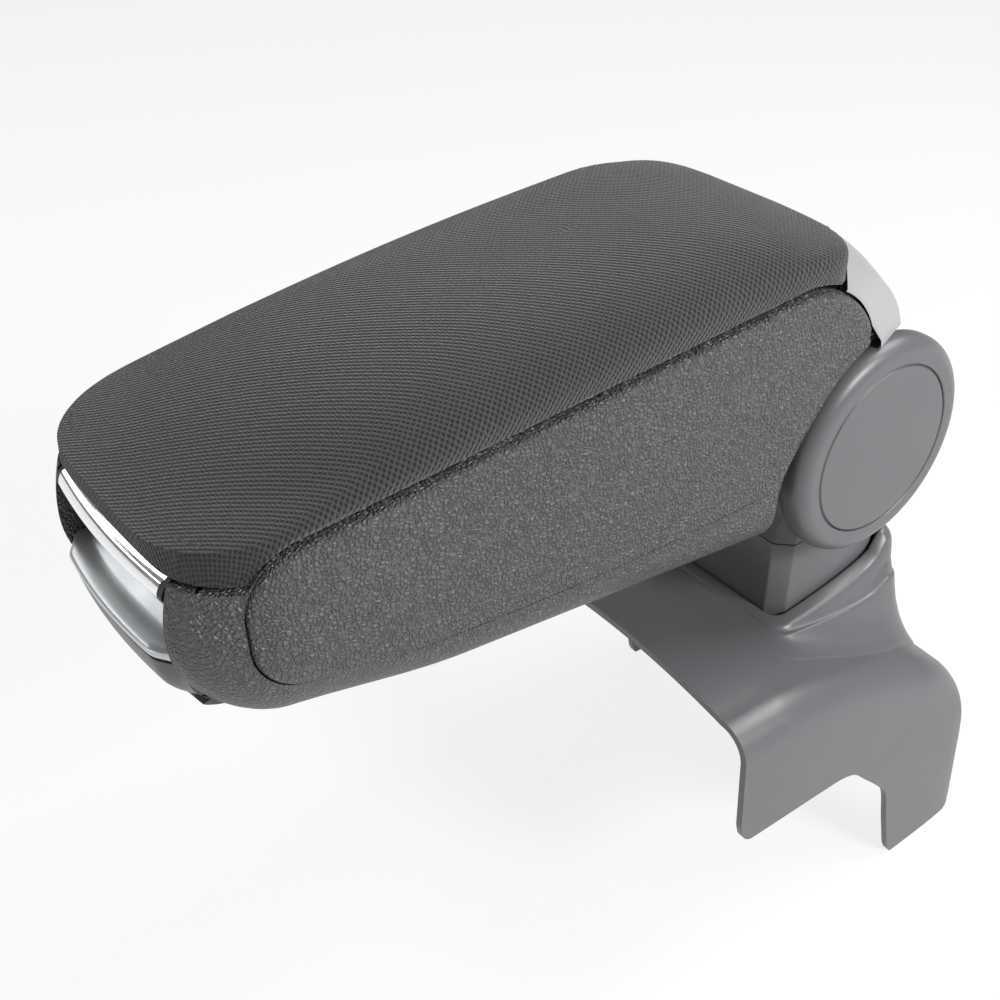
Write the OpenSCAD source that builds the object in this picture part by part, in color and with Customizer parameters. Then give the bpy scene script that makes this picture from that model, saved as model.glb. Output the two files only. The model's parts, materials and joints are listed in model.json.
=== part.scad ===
// Centre armrest for a car: a padded lid over a storage body, which folds about a drum
// on a neck that stands in a saddle cover. X is across, the front is towards -Y, Z is up.
// The origin is the centre of the foot plate's bolt pattern, on its underside.

/* [Pivot] */
// Height of the pivot axis above the underside of the foot plate
pivot_h = 128; // [122:1:140]
// Distance of the pivot axis ahead of the centre of the bolt pattern
pivot_fwd = 8; // [5:0.5:11]
// Radius of the rim at each end of the drum
rim_r = 43; // [41.5:0.5:44]
// Radius of the waist of the drum
waist_r = 37; // [35.5:0.5:38.5]
// Width of the drum over its two faces
drum_w = 110; // [106:1:114]
// Wall of the drum
drum_wall = 2.6; // [2:0.1:3.2]
// Radius of the round cap in each face of the drum
cap_r = 33; // [30:0.5:34]
// Diameter of the axle
axle_d = 12; // [10:0.5:14]
// Furthest angle that the armrest folds up through
fold_limit = 95; // [80:1:100]

/* [Armrest body] */
// Distance from the pivot axis to the front of the body
arm_reach = 264; // [240:1:290]
// Width of the armrest
arm_w = 110; // [104:1:116]
// Height of the lid joint above the pivot, at the front
seam_front = 55.6; // [52:0.2:60]
// Slope of the lid joint, rising to the rear, in degrees
seam_slope = 5; // [3:0.5:6]
// Height of the lid joint at the front corners
corner_z = 49.5; // [48.5:0.5:51.5]
// Height of the underside at the front, below the pivot when negative
under_front = -1; // [-5:0.5:3]
// Slope of the underside, falling to the rear, in degrees
under_slope = 5.1; // [4:0.1:6]
// How much lower the underside hangs behind its front end
belly = 2; // [0:0.2:3]
// Plan radius of the front corners
front_r = 24; // [20:0.5:28]
// Plan radius of the body's rear corners
rear_r = 6; // [5:0.5:8]
// How far the middle of the front stands ahead of its corners
front_bow = 3; // [1:0.5:5]
// Radius of the lower edges
lower_r = 18; // [14:0.5:20]
// How much wider the lower rounding is at the front corners
lower_sweep = 7; // [4:0.5:8]
// Thickness of the body's side walls
body_wall = 7; // [6.5:0.1:8]
// Thickness of the body's floor and end walls
floor_wall = 3; // [2.5:0.1:3.5]
// Gap between the drum's rim and the rear wall of the body
drum_gap = 6.6; // [5.5:0.1:7]
// How much further the rear wall stands off below the pivot
rear_relief = 5.5; // [4:0.5:6]

/* [Side panels] */
// Radius of the panel's front corners
panel_front_r = 18; // [14:0.5:20]
// Radius of the panel's rear top corner
panel_rear_r = 38; // [34:0.5:40]
// Depth of the pocket for the panel, from the widest part of the body
panel_depth = 4; // [3.5:0.1:4.5]
// Groove around the panel
panel_gap = 0.8; // [0.5:0.1:1.2]

/* [Lid] */
// Height of the cushion's crown above the lid joint
crown_h = 20; // [16:0.5:24]
// Gap between the lid and the body
lid_gap = 1.9; // [1.5:0.1:2.5]
// Plan radius of the lid's rear corners
lid_corner_r = 18; // [14:0.5:20]
// Thickness of the board under the cushion
board_t = 2.6; // [2.5:0.1:4]
// Distance of the lid's rear edge ahead of the pivot axis
lid_rear = 24; // [23.6:0.1:26]
// Height of the lid's hinge pin above the pivot axis
hinge_z = 80; // [78:0.5:81]
// Distance of the lid's hinge pin ahead of the pivot axis
hinge_fwd = 20.5; // [20:0.1:21]
// Diameter of the lid's hinge pin
hinge_pin_d = 2.6; // [2:0.1:3]

/* [Latch] */
// Length of the bright bar
bar_len = 65; // [56:1:67]
// Height of the bright bar
bar_h = 6; // [5:0.1:6.4]
// Diameter of the latch pin
latch_pin_d = 3; // [2:0.1:3.4]

/* [Storage bin] */
// Distance from the front of the body to the bin
bin_front = 28; // [27:0.5:34]
// Distance from the pivot axis to the rear of the bin
bin_rear = 64; // [60:1:80]
// Height of the bin's underside above the floor of the body
bin_lift = 14; // [12:0.5:30]
// Wall of the bin
bin_wall = 2; // [1.6:0.1:2.6]

/* [Neck and saddle] */
// Width of the neck
neck_w = 70; // [66:0.5:74]
// Length of the neck, front to rear
neck_l = 60; // [58:0.5:64]
// Width of the flat on each corner of the neck
neck_flat = 6; // [4:0.5:8]
// Wall of the neck
neck_wall = 2.5; // [2:0.1:3]
// Gap between the neck and the collar
collar_gap = 1.4; // [1:0.1:2]
// Distance from the pivot axis to the front edge of the saddle
saddle_front = 81; // [77:1:86]
// Distance from the pivot axis to the rear edge of the saddle
saddle_rear = 60; // [58:1:64]
// Half the width of the saddle across its top
saddle_half = 79; // [75:0.5:83]
// Outward lean of the aprons, in degrees
apron_lean = 3.5; // [2:0.5:6]
// Wall of the saddle
saddle_wall = 2.8; // [2.2:0.1:3.4]
// Height of the front legs' lower edge below the pivot
front_leg = 130; // [126:1:136]
// Height of the rear legs' lower edge below the pivot
rear_leg = 198; // [180:1:210]

/* [Foot and bracket] */
// Width of the foot plate
plate_w = 92; // [86:1:100]
// Length of the foot plate
plate_l = 76; // [74:1:80]
// Thickness of the foot plate
plate_t = 3; // [2.5:0.1:4]
// Hole spacing across
bolt_x = 70; // [64:1:76]
// Hole spacing front to rear
bolt_y = 56; // [50:1:60]
// Diameter of the bolt holes
bolt_d = 8.5; // [6.5:0.1:9]
// Width over the two cheeks of the post
post_w = 50; // [46:1:52]
// Thickness of the post's sheet
post_t = 3; // [2.5:0.1:4]
// Thickness of the arm bracket's ears
ear_t = 4; // [3:0.1:5]

/* [Hidden] */
$fn = 48;

fine = 0.3;
run = 0.05;
arm_half = arm_w / 2;
front_y = -arm_reach;
drum_half = drum_w / 2;
clear_r = rim_r + drum_gap;
rise = tan(seam_slope);
fall = tan(under_slope);
mid_y = -105;

function ease(t) = let (u = min(1, max(0, t))) u * u * (3 - 2 * u);
function mix(a, b, t) = a + (b - a) * t;
function mirrored(half) = concat(half,
    [for (i = [len(half) - 2:-1:1]) [-half[i].x, half[i].y, each len(half[i]) > 2 ? [half[i].z] : []]]);

// Closed solid through rings of equal count. Each end is closed by one plain face where the end
// rings are flat, by a fan about its middle, or by a fan at the height of the ring beside it
function ring_middle(r) = [for (a = [0:2]) (min([for (p = r) p[a]]) + max([for (p = r) p[a]])) / 2];
function floor_middle(r) = let (m = ring_middle(r), near = min([for (p = r) abs(p.y - m.y)]),
    beside = [for (p = r) if (abs(p.y - m.y) < near + fine) p][0]) [m.x, beside.y, beside.z];
module loft(rings, ends = "fan") {
    n = len(rings[0]);
    m = len(rings);
    top = (m - 1) * n;
    walls = [for (k = [0:m - 2], i = [0:n - 1]) let (j = (i + 1) % n)
        each [[k * n + i, (k + 1) * n + j, k * n + j], [k * n + i, (k + 1) * n + i, (k + 1) * n + j]]];
    first = ends == "flat" ? [[for (i = [0:n - 1]) i]] : [for (i = [0:n - 1]) [m * n, i, (i + 1) % n]];
    last = ends == "flat" ? [[for (i = [n - 1:-1:0]) top + i]]
        : [for (i = [0:n - 1]) [m * n + 1, top + (i + 1) % n, top + i]];
    middles = ends == "flat" ? [] : [for (r = [rings[0], rings[m - 1]])
        ends == "floor" ? floor_middle(r) : ring_middle(r)];
    polyhedron(points = concat([for (r = rings) each r], middles), faces = concat(walls, first, last));
}

// Moves a piece from the pivot's own frame to the part's frame
module on_pivot() {
    translate([0, -pivot_fwd, pivot_h]) children();
}

// Extrudes an outline drawn in Y and Z, from x0 to x1
module across(x0, x1) {
    translate([x0, 0, 0]) rotate([90, 0, 90]) linear_extrude(x1 - x0) children();
}

// A round bar along X
module rod_x(d, x0, x1, y, z) {
    translate([x0, y, z]) rotate([0, 90, 0]) cylinder(d = d, h = x1 - x0);
}

module box(lo, hi) {
    translate(lo) cube(hi - lo);
}

// Height of the straight lid joint, and of the real joint with its rounded ends
panel_front_y = front_y + 13;
panel_arc_y = panel_front_y + panel_front_r;
panel_tail_y = -50;
function seam_line(y) = seam_front + (y - front_y) * rise;
panel_arc_z = seam_line(panel_arc_y) - panel_front_r;
panel_tail_z = seam_line(panel_tail_y) - panel_rear_r;
function arc_z(y, mid, r) = sqrt(max(0, r * r - (y - mid) * (y - mid)));
function seam(y) = y < panel_arc_y ? max(corner_z, panel_arc_z + arc_z(y, panel_arc_y, panel_front_r))
    : y > panel_tail_y ? panel_tail_z + arc_z(y, panel_tail_y, panel_rear_r)
    : seam_line(y);
function under(y) = under_front - (y - front_y) * fall - belly * ease((y - front_y - 25) / 60);

// Half of a plan outline, from the middle of the front to the middle of the rear.
// side, front and rear are insets
corner_turns = [90, 82, 73, 64, 54, 44, 36, 30, 25, 20, 15, 8, 0];
front_steps = 3;
side_cols = [0.015, 0.03, 0.045, 0.16, 0.3, 0.44, 0.58, 0.72, 0.84, 0.92, 0.97];
function half_plan(side, front, rear, tail, rear_corner) = let (
        hx = arm_half - side,
        rf = max(3, front_r - (side + front) / 2),
        rr = max(3, rear_corner - (side + rear) / 2),
        y0 = front_y + front,
        y1 = -tail - rear
    ) concat(
        [for (i = [0:front_steps - 1]) [(hx - rf) * i / front_steps, y0]],
        [for (a = corner_turns) [hx - rf + rf * cos(a), y0 + rf - rf * sin(a)]],
        [for (s = side_cols) [hx, mix(y0 + rf, y1 - rr, s)]],
        [for (a = [0:15:90]) [hx - rr + rr * cos(a), y1 - rr + rr * sin(a)]],
        [for (i = [2:-1:0]) [(hx - rr) * i / 3, y1]]
    );
function bowed(p) = [p.x, p.y - front_bow * (1 - pow(p.x / arm_half, 2)) * ease((front_y + 60 - p.y) / 50)];

// Furthest back that the body reaches at height z, round the drum and then straight down
function rear_limit(z, r) = z > 0 ? sqrt(max(0, r * r - z * z)) + rear_relief * ease(1 - z / 30)
    : r + rear_relief;

// Moves a point ahead of the drum, and up the slope of the underside by the share k
function clear_drum(p, r, k) = let (y = p.z < r ? min(p.y, -rear_limit(p.z, r)) : p.y)
    [p.x, y, p.z + (p.y - y) * fall * k];

// Front bulge of the body and the pocket that holds the trim and the latch
front_bulge = 1;
pocket_y = front_y + 19;
pocket_half = bar_len / 2 + 2.9;
rim_lean = 2;
front_lower = 33;
body_tail = 14;
function lower_h(y) = mix(front_lower, lower_r, ease((y - front_y) / 80));
function lower_in(y) = lower_sweep * (1 - ease((y - front_y) / 80));

// Ring of the body's outside. a turns the lower edge from 0 to 90, s then climbs to the rim
function body_ring(a, s, grow) = let (
        side = lower_r * (1 - sin(a)) + rim_lean * s * s - grow,
        front = front_lower * (1 - sin(a)) - front_bulge + (front_bulge + rim_lean) * s * s - grow,
        half = half_plan(side, front, -grow, body_tail, rear_r),
        n = len(half)
    ) mirrored([for (i = [0:n - 1]) let (
            h = bowed(half[i]),
            q = [h.x * (1 - lower_in(h.y) * (1 - sin(a)) / arm_half), h.y],
            z0 = under(q.y) - grow + lower_h(q.y) * (1 - cos(a)),
            z = s == 0 ? z0 : mix(z0, seam(q.y), s)
        ) clear_drum([q.x, q.y, z], clear_r - grow, 1 - s)]);

// Ring of the body's inside, with the same turn and climb. It stays behind the front pocket
inner_half = pocket_half + floor_wall + 1.5;
function body_inner_ring(a, s) = let (
        half = half_plan(lower_r * (1 - sin(a)) + body_wall, front_lower * (1 - sin(a)) + 2 + 3 * s * s,
            floor_wall, body_tail, rear_r),
        n = len(half)
    ) mirrored([for (i = [0:n - 1]) let (
            h = bowed(half[i]),
            q = [h.x * (1 - lower_in(h.y) * (1 - sin(a)) / arm_half), h.y],
            z = mix(under(q.y) + floor_wall + lower_h(q.y) * (1 - cos(a)), seam(q.y), s),
            y = q.x < inner_half ? max(q.y, pocket_y + floor_wall) : q.y
        ) clear_drum([q.x, y, z], clear_r + floor_wall, 1 - s)]);

wall_steps = [0.3, 0.55, 0.75, 0.9, 1];
module body_solid(grow) {
    loft(concat([for (a = [0, 18, 36, 54, 72, 90]) body_ring(a, 0, grow)],
        [for (s = wall_steps) body_ring(90, s, grow)]), "floor");
}

// Outline of a side panel in Y and Z, drawn smaller by g
panel_low_front = 15;
panel_low_rear = 4.6;
panel_low_rise = 8;
panel_low_from = -227;
panel_low_to = -105;
panel_back_z = [44, 38, 31, 24, 17, 10];
function panel_low(y) = let (u = max(0, (panel_low_to - y) / (panel_low_to - panel_low_from)))
    panel_low_rear + panel_low_rise * pow(u, 1.8);
function round_at(y, z, r, a) = [y + r * cos(a), z + r * sin(a)];
function panel_outline(g) = let (
        front_arc = panel_front_r - g,
        rear_arc = panel_rear_r - g,
        back = clear_r + 0.8
    ) concat(
        [for (a = [180:-15:95]) round_at(panel_arc_y, panel_arc_z, front_arc, a)],
        [for (a = [95:-9:35]) round_at(panel_tail_y, panel_tail_z, rear_arc, a)],
        [[-15.6 - g, 54], [-16.6 - g, 51.4]],
        [for (z = panel_back_z) [-rear_limit(z, back) - g, z]],
        [[-rear_limit(panel_low_rear, back) - g, panel_low_rear + g]],
        [for (u = [1:-0.125:0]) let (y = mix(panel_low_from, panel_low_to, u)) [y, panel_low(y) + g]],
        [for (a = [252:-14:180]) round_at(panel_arc_y, panel_low_front + panel_front_r, front_arc, a)]);

screw_at = [[22, -90], [22, -138]];
screw_d = 5;
plate_lean = -under_slope;
plate_y = -114;
function bracket_z(y) = under(y) + floor_wall;
slot_room = 0.8;
ear_x = post_w / 2 + 3;

module body_shell() {
    color([0.27, 0.28, 0.29]) on_pivot() difference() {
        loft(concat([for (a = [0, 18, 36, 54, 72, 90]) body_ring(a, 0, 0)],
            [for (s = wall_steps) body_ring(90, s, 0)],
            [for (i = [len(wall_steps) - 1:-1:0]) body_inner_ring(90, wall_steps[i])],
            [for (a = [90:-30:0]) body_inner_ring(a, 0)]), "floor");
        box([-pocket_half, front_y - 20, under_front - 10], [pocket_half, pocket_y, seam_front + 10]);
        for (side = [-1, 1]) {
            mirror([side < 0 ? 1 : 0, 0, 0])
                across(arm_half - panel_depth, arm_half + 6) polygon(panel_outline(0));
            for (s = screw_at) translate([side * s.x, s.y, under(s.y) - 5])
                cylinder(d = screw_d + 0.5, h = 12);
        }
        for (side = [-1, 1]) translate([side * ear_mid - ear_t / 2 - slot_room, -clear_r - 12, -21])
            cube([ear_t + 2 * slot_room, 16, 27]);
    }
}

module side_panel() {
    intersection() {
        body_solid(0.8);
        across(arm_half - panel_depth + fine, arm_half + 6) polygon(panel_outline(panel_gap));
    }
}

module side_panel_right() {
    color([0.32, 0.33, 0.34]) on_pivot() side_panel();
}

module side_panel_left() {
    color([0.32, 0.33, 0.34]) on_pivot() mirror([1, 0, 0]) side_panel();
}

// Front line of the trim at x, and the sections of the trim, the lip and the chin below it
trim_half = pocket_half - 0.8;
function trim_front(x) = front_y - front_bow * (1 - pow(x / (trim_half + 1), 2));
lip_z = 24;
trim_section = [[7.2, 19.5], [10, 14.5], [10.6, 9.5], [8.2, 5], [11, 4.8], [12.4, 9.5], [11.6, 15], [9.2, 19.5]];
lip_section = [[8.2, 4.6], [3.4, 2.4], [-2, 1.4], [-3, -0.4], [-1.4, -2.6], [2.4, -2.6], [6.8, 1.2], [11, 4.4]];
chin_section = [[-2, -3.2], [-1.2, -8.4], [0.8, -13.4], [4.6, -17.6], [10.6, -20.8], [21, -23.2],
    [21, -21.2], [11.4, -18.6], [6.4, -15.9], [3, -12.4], [1.2, -8], [0.6, -3.2]];
lip_tuck = 3.4;
function tucked(u, p) = p.x + (p.x < 5 ? lip_tuck * ease((abs(u) - 0.74) / 0.26) : 0);
trim_steps = [-1, -0.88, -0.6, -0.2, 0.2, 0.6, 0.88, 1];

module trim_strip(section) {
    color([0.62, 0.64, 0.66]) on_pivot() loft([for (u = trim_steps) let (x = u * trim_half)
        [for (p = section) [x, trim_front(x) + tucked(u, p), lip_z + p.y]]], "flat");
}

module front_trim() {
    trim_strip(trim_section);
}

module trim_lip() {
    trim_strip(lip_section);
}

module chin_cover() {
    rear = pocket_y - 0.8;
    color([0.2, 0.21, 0.22]) on_pivot() loft([for (u = trim_steps) let (x = u * trim_half)
        [for (p = chin_section) [x, min(trim_front(x) + tucked(u, p), rear), lip_z + p.y]]], "flat");
}

// Storage bin, hung by a flange inside the body
bin_top = 5;
bin_inset = body_wall + 5;
function bin_ring(side, lift, under_top) = let (
        half = half_plan(side, bin_front + side - bin_inset, side - bin_inset, bin_rear, lid_corner_r)
    ) mirrored([for (q = half)
        [q.x, q.y, under_top > 0 ? seam_line(q.y) - under_top : under(q.y) + floor_wall + lift]]);

module storage_bin() {
    flange = body_wall + 0.5;
    color([0.12, 0.12, 0.13]) on_pivot() loft([
        bin_ring(bin_inset + 4, bin_lift, 0),
        bin_ring(bin_inset, bin_lift + 4, 0),
        bin_ring(bin_inset, 0, bin_top + 4),
        bin_ring(flange, 0, bin_top + bin_wall),
        bin_ring(flange, 0, bin_top),
        bin_ring(bin_inset + bin_wall, 0, bin_top),
        bin_ring(bin_inset + bin_wall, bin_lift + 4, 0),
        bin_ring(bin_inset + bin_wall + 3, bin_lift + bin_wall, 0)]);
}

// Cushion: a crowned pad over the whole lid, with a skirt round the board
crown_n = 2.5;
end_n = 0.4;
crown_front = 160;
crown_tail = 106;
function lid_plan(inset) = half_plan(2 + inset, 2 + inset, inset, lid_rear, lid_corner_r);
function lid_ring(inset, drop) = mirrored([for (p = lid_plan(inset)) let (q = bowed(p))
    [q.x, q.y, drop > 0 ? seam(q.y) + drop : seam_line(q.y) - drop]]);
// Share of the crown's height that is left at y, towards the front and the rear
function crown_share(y) = let (u = (y - mid_y) / (y < mid_y ? crown_front : crown_tail)) sqrt(max(0, 1 - u * u));
function crown_ring(c) = mirrored([for (p = lid_plan(-0.4)) let (
        q = bowed(p),
        y = mid_y + (q.y - mid_y) * c,
        h = crown_h * pow(1 - pow(c, crown_n), end_n) * mix(1, crown_share(y), c * c)
    ) [q.x * c, y, seam_line(y) + lid_gap + 2 + h]]);

module lid_cushion() {
    skirt = 5.5;
    color([0.16, 0.16, 0.17]) on_pivot() loft([
        lid_ring(skirt, -board_t - lid_gap),
        lid_ring(skirt, lid_gap + 0.2),
        lid_ring(1.2, lid_gap),
        lid_ring(0.2, lid_gap + 0.9),
        lid_ring(-0.4, -lid_gap - 2),
        crown_ring(0.985), crown_ring(0.955), crown_ring(0.9), crown_ring(0.81),
        crown_ring(0.68), crown_ring(0.5), crown_ring(0.3), crown_ring(0.1)]);
}

// Board that carries the cushion, the lid's hinge knuckles and the latch
barrel_d = hinge_pin_d + 2.8;
knuckle_in = 20;
knuckle_out = 31;
latch_y = front_y + 12.5;
latch_z = 46;
latch_ear = 24.5;
lever_d = latch_pin_d + 2.6;

module lid_board() {
    inset = 6.2;
    lid_foot = hinge_z - 16;
    foot_y = -lid_rear - 11;
    color([0.1, 0.1, 0.11]) on_pivot() difference() {
        union() {
            loft([lid_ring(inset, -lid_gap + 0.5), lid_ring(inset, -lid_gap - board_t + 0.05)]);
            for (side = [0, 1]) mirror([side, 0, 0]) {
                rod_x(barrel_d, knuckle_in, knuckle_out, -hinge_fwd, hinge_z);
                box([knuckle_in, -lid_rear + 0.5, lid_foot], [knuckle_out, -hinge_fwd - 0.6, hinge_z]);
                box([knuckle_in, foot_y, lid_foot], [knuckle_out, -lid_rear + 1, lid_foot + 2.2]);
                box([knuckle_in, foot_y, lid_foot], [knuckle_out, foot_y + 2, seam_line(foot_y + 1) + lid_gap]);
                box([latch_ear, latch_y - 3, latch_z - 3.2],
                    [latch_ear + 3, latch_y + 3, seam_line(latch_y) + lid_gap]);
            }
        }
        rod_x(hinge_pin_d + 2 * run, knuckle_in - 1, knuckle_out + 1, -hinge_fwd, hinge_z);
        rod_x(hinge_pin_d + 2 * run, -knuckle_out - 1, -knuckle_in + 1, -hinge_fwd, hinge_z);
        rod_x(latch_pin_d + 2 * run, -latch_ear - 4, latch_ear + 4, latch_y, latch_z);
    }
}

module lid_hinge_pin() {
    color([0.75, 0.76, 0.78]) on_pivot()
        rod_x(hinge_pin_d, -knuckle_out - 1, knuckle_out + 1, -hinge_fwd, hinge_z);
}

// Steel leaf between the two lid knuckles, fixed to the body's rear wall
module hinge_bracket() {
    w = knuckle_in - 0.5;
    back = -body_tail - floor_wall - 0.4;
    leaf = 2.2;
    foot = clear_r + 6;
    color([0.6, 0.61, 0.63]) on_pivot() difference() {
        union() {
            rod_x(barrel_d, -w, w, -hinge_fwd, hinge_z);
            across(-w, w) polygon([[back, hinge_z], [back, foot], [back - 10, foot - 10],
                [back - 11.6, foot - 8.4], [back - leaf, foot + 1], [back - leaf, hinge_z]]);
        }
        rod_x(hinge_pin_d + 2 * run, -w - 1, w + 1, -hinge_fwd, hinge_z);
    }
}

// Rear cover from the lid to the drum: at each x a curved strip, its ends on the panels
function bezier(a, b, c, d, t) = let (u = 1 - t)
    a * u * u * u + 3 * b * u * u * t + 3 * c * u * t * t + d * t * t * t;
cover_flat = arm_half - 9;
cover_edge = arm_half - 2.8;
cover_tail_r = rim_r + 2;
cover_steps = 6;
function cover_curve(x, thin) = let (
        u = min(1, abs(x) / cover_flat),
        front = [mix(-hinge_fwd + 4.2, -hinge_fwd - 5, pow(u, 6)), mix(hinge_z + 0.4, hinge_z - 5, pow(u, 5))],
        end_a = mix(68, 78, u * u),
        tail = cover_tail_r * [cos(end_a), sin(end_a)],
        high = [mix(4, -8, u * u), mix(74, 68, u * u)],
        low = [mix(17, 4, u * u), mix(60, 60, u)],
        middle = [-22, 46]
    ) [for (i = [0:cover_steps]) mix(bezier(front, high, low, tail, i / cover_steps), middle, thin)];
// The cover's two side edges follow the panel's rear arc and end on the drum
cover_foot_a = 101;
cover_edge_gap = 0.6;
cover_edge_t = 0.9;
function cover_side(up) = let (r = panel_rear_r + cover_edge_gap + up) concat(
    [for (i = [0:cover_steps - 2]) let (a = mix(62, 26, i / (cover_steps - 2)))
        [panel_tail_y + r * cos(a), panel_tail_z + r * sin(a)]],
    [for (k = [3.4, 0.4]) (rim_r + k + up * 0.6) * [cos(cover_foot_a - up), sin(cover_foot_a - up)]]);
function cover_station(x, edge) = let (
        outer = edge ? cover_side(cover_edge_t) : cover_curve(x, 0),
        inner = edge ? cover_side(0) : cover_curve(x, 0.07)
    ) [for (p = concat(inner, [for (i = [cover_steps:-1:0]) outer[i]])) [x, p.x, p.y]];

module hinge_cover() {
    flats = [for (u = [-1, -0.86, -0.55, 0, 0.55, 0.86, 1]) u * cover_flat];
    color([0.6, 0.61, 0.62]) on_pivot() loft(concat([cover_station(-cover_edge, true)],
        [for (x = flats) cover_station(x, false)], [cover_station(cover_edge, true)]), "flat");
}

// Latch lever under the lid's front edge, its bright bar and what turns it
bar_half = bar_len / 2;
lever_half = bar_half + 4;
bar_top = 49.6;
function bar_front(x) = front_y + 1.8 - 2.6 * (1 - pow(x / lever_half, 2));
function bar_section(x) = let (y = bar_front(x), h = bar_h)
    [[x, y + 1.2, bar_top], [x, y - 1.2, bar_top - 0.3 * h], [x, y - 2.4, bar_top - 0.68 * h],
     [x, y - 2.2, bar_top - 0.9 * h], [x, y - 0.8, bar_top - h], [x, y + 1.2, bar_top - 0.97 * h]];
function lever_section(x) = let (
        y = bar_front(x), h = bar_h, proud = abs(x) > bar_half + 0.1,
        face = [[x, y + 1, bar_top + 0.1], [x, y - 1.4, bar_top - 0.3 * h], [x, y - 2.6, bar_top - 0.68 * h],
            [x, y - 2.4, bar_top - 0.92 * h], [x, y - 0.8, bar_top - h - 0.1]],
        rear = [[x, y + 4.8, bar_top - h - 0.1], [x, y + 4.8, bar_top + 0.1]]
    ) concat(proud ? face : [for (p = face) [x, y + 1.3, p.z]], rear);

module latch_lever() {
    end = lever_half - 1.9;
    step = bar_half + 0.2;
    stations = concat([for (t = [0, 0.5, 1]) mix(-end, -step, t)], [for (u = [-1:0.25:1]) u * (bar_half + 0.05)],
        [for (t = [0, 0.5, 1]) mix(step, end, t)]);
    color([0.05, 0.05, 0.055]) on_pivot() difference() {
        union() {
            loft([for (x = stations) lever_section(x)], "flat");
            rod_x(lever_d, -latch_ear + 0.4, latch_ear - 0.4, latch_y, latch_z);
            for (x = [-22, 16]) box([x, bar_front(0) + 4, latch_z - 1.6], [x + 6, latch_y, latch_z + 1.6]);
            box([-6, latch_y - 1.6, latch_z - 10], [6, latch_y + 0.2, latch_z]);
            box([-6, latch_y - 1.6, latch_z - 10], [6, latch_y + 1.1, latch_z - 8.6]);
        }
        rod_x(latch_pin_d + 2 * run, -latch_ear, latch_ear, latch_y, latch_z);
    }
}

module latch_bar() {
    color([0.85, 0.86, 0.88]) on_pivot() loft([for (u = [-1:0.1:1.01]) bar_section(u * bar_half)], "flat");
}

module latch_pin() {
    color([0.75, 0.76, 0.78]) on_pivot()
        rod_x(latch_pin_d, -latch_ear - 3.6, latch_ear + 3.6, latch_y, latch_z);
}

// Torsion spring round the latch pin, drawn as its closed turns
module latch_spring() {
    wire = 0.8;
    turn_r = lever_d / 2 + wire / 2 + 0.15;
    color([0.7, 0.7, 0.72]) on_pivot() for (x = [9:1.6:14]) translate([x, latch_y, latch_z])
        rotate([0, 90, 0]) rotate_extrude() translate([turn_r, 0]) circle(d = wire, $fn = 16);
}

module latch_striker() {
    wire = 2.2;
    y = latch_y + 1.4 + wire / 2;
    z = latch_z - 7.2;
    color([0.7, 0.71, 0.73]) on_pivot() {
        rod_x(wire, -9, 9, y, z);
        for (x = [-8, 8]) translate([x, y, z]) rotate([-90, 0, 0]) cylinder(d = wire, h = pocket_y - y);
    }
}

// Drum: a waisted shell of revolution about the pivot axis, on a flared stub
neck_y = pivot_fwd;
neck_top = -47;
half_l = neck_l / 2;
waist_x = 36;
rim_x = drum_half - 8;
rim_round = 6;
function drum_profile(d) = concat(
    [for (t = [0:0.25:1]) [mix(waist_x, rim_x, t), mix(waist_r, rim_r, ease(t)) - d]],
    [for (a = [90:-18:0]) [drum_half - rim_round * (1 - cos(a)), rim_r - rim_round * (1 - sin(a)) - d]]);

module revolve_x() {
    rotate([0, 90, 0]) rotate_extrude($fn = 96) children();
}

module drum_solid() {
    outer = drum_profile(0);
    half = concat(outer, [[drum_half, 0]]);
    far_half = [for (i = [len(half) - 1:-1:0]) [-half[i].x, half[i].y]];
    revolve_x() polygon([for (p = concat(far_half, half)) [p.y, p.x]]);
}

module drum_room() {
    r = waist_r - drum_wall;
    revolve_x() {
        translate([0, -waist_x]) square([r, 2 * waist_x]);
        for (s = [-1, 1]) translate([0, s > 0 ? 0 : -drum_half - 1]) square([cap_r - 2, drum_half + 1]);
    }
}

function stub_ring(z, hx, y0, y1, c) = [[hx - c, y0, z], [hx, y0 + c, z], [hx, y1 - c, z], [hx - c, y1, z],
    [-hx + c, y1, z], [-hx, y1 - c, z], [-hx, y0 + c, z], [-hx + c, y0, z]];

// Height above the neck's top, and how far the stub then reaches past it to the side, front and rear
stub_flare = [[0, 0, 0, 0], [5, 1, 0.6, 0], [11, 3.5, 2.4, 0.6], [17, 7.5, 5.6, 2.4], [23, 12, 9.5, 6],
    [30, 14, 10, 10]];
stub_step = -38;
stub_rear = 20;
cap_seat = 2.2;
ear_mid = ear_x + ear_t / 2;
slit_start = 74;
slit_end = 210;
slit_room = 0.6;

// A sector of angle in the plane across the pivot axis, for the slits in the drum
module sector(a0, a1, r) {
    polygon(concat([[0, 0]], [for (i = [0:8]) r * [cos(mix(a0, a1, i / 8)), sin(mix(a0, a1, i / 8))]]));
}

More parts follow.
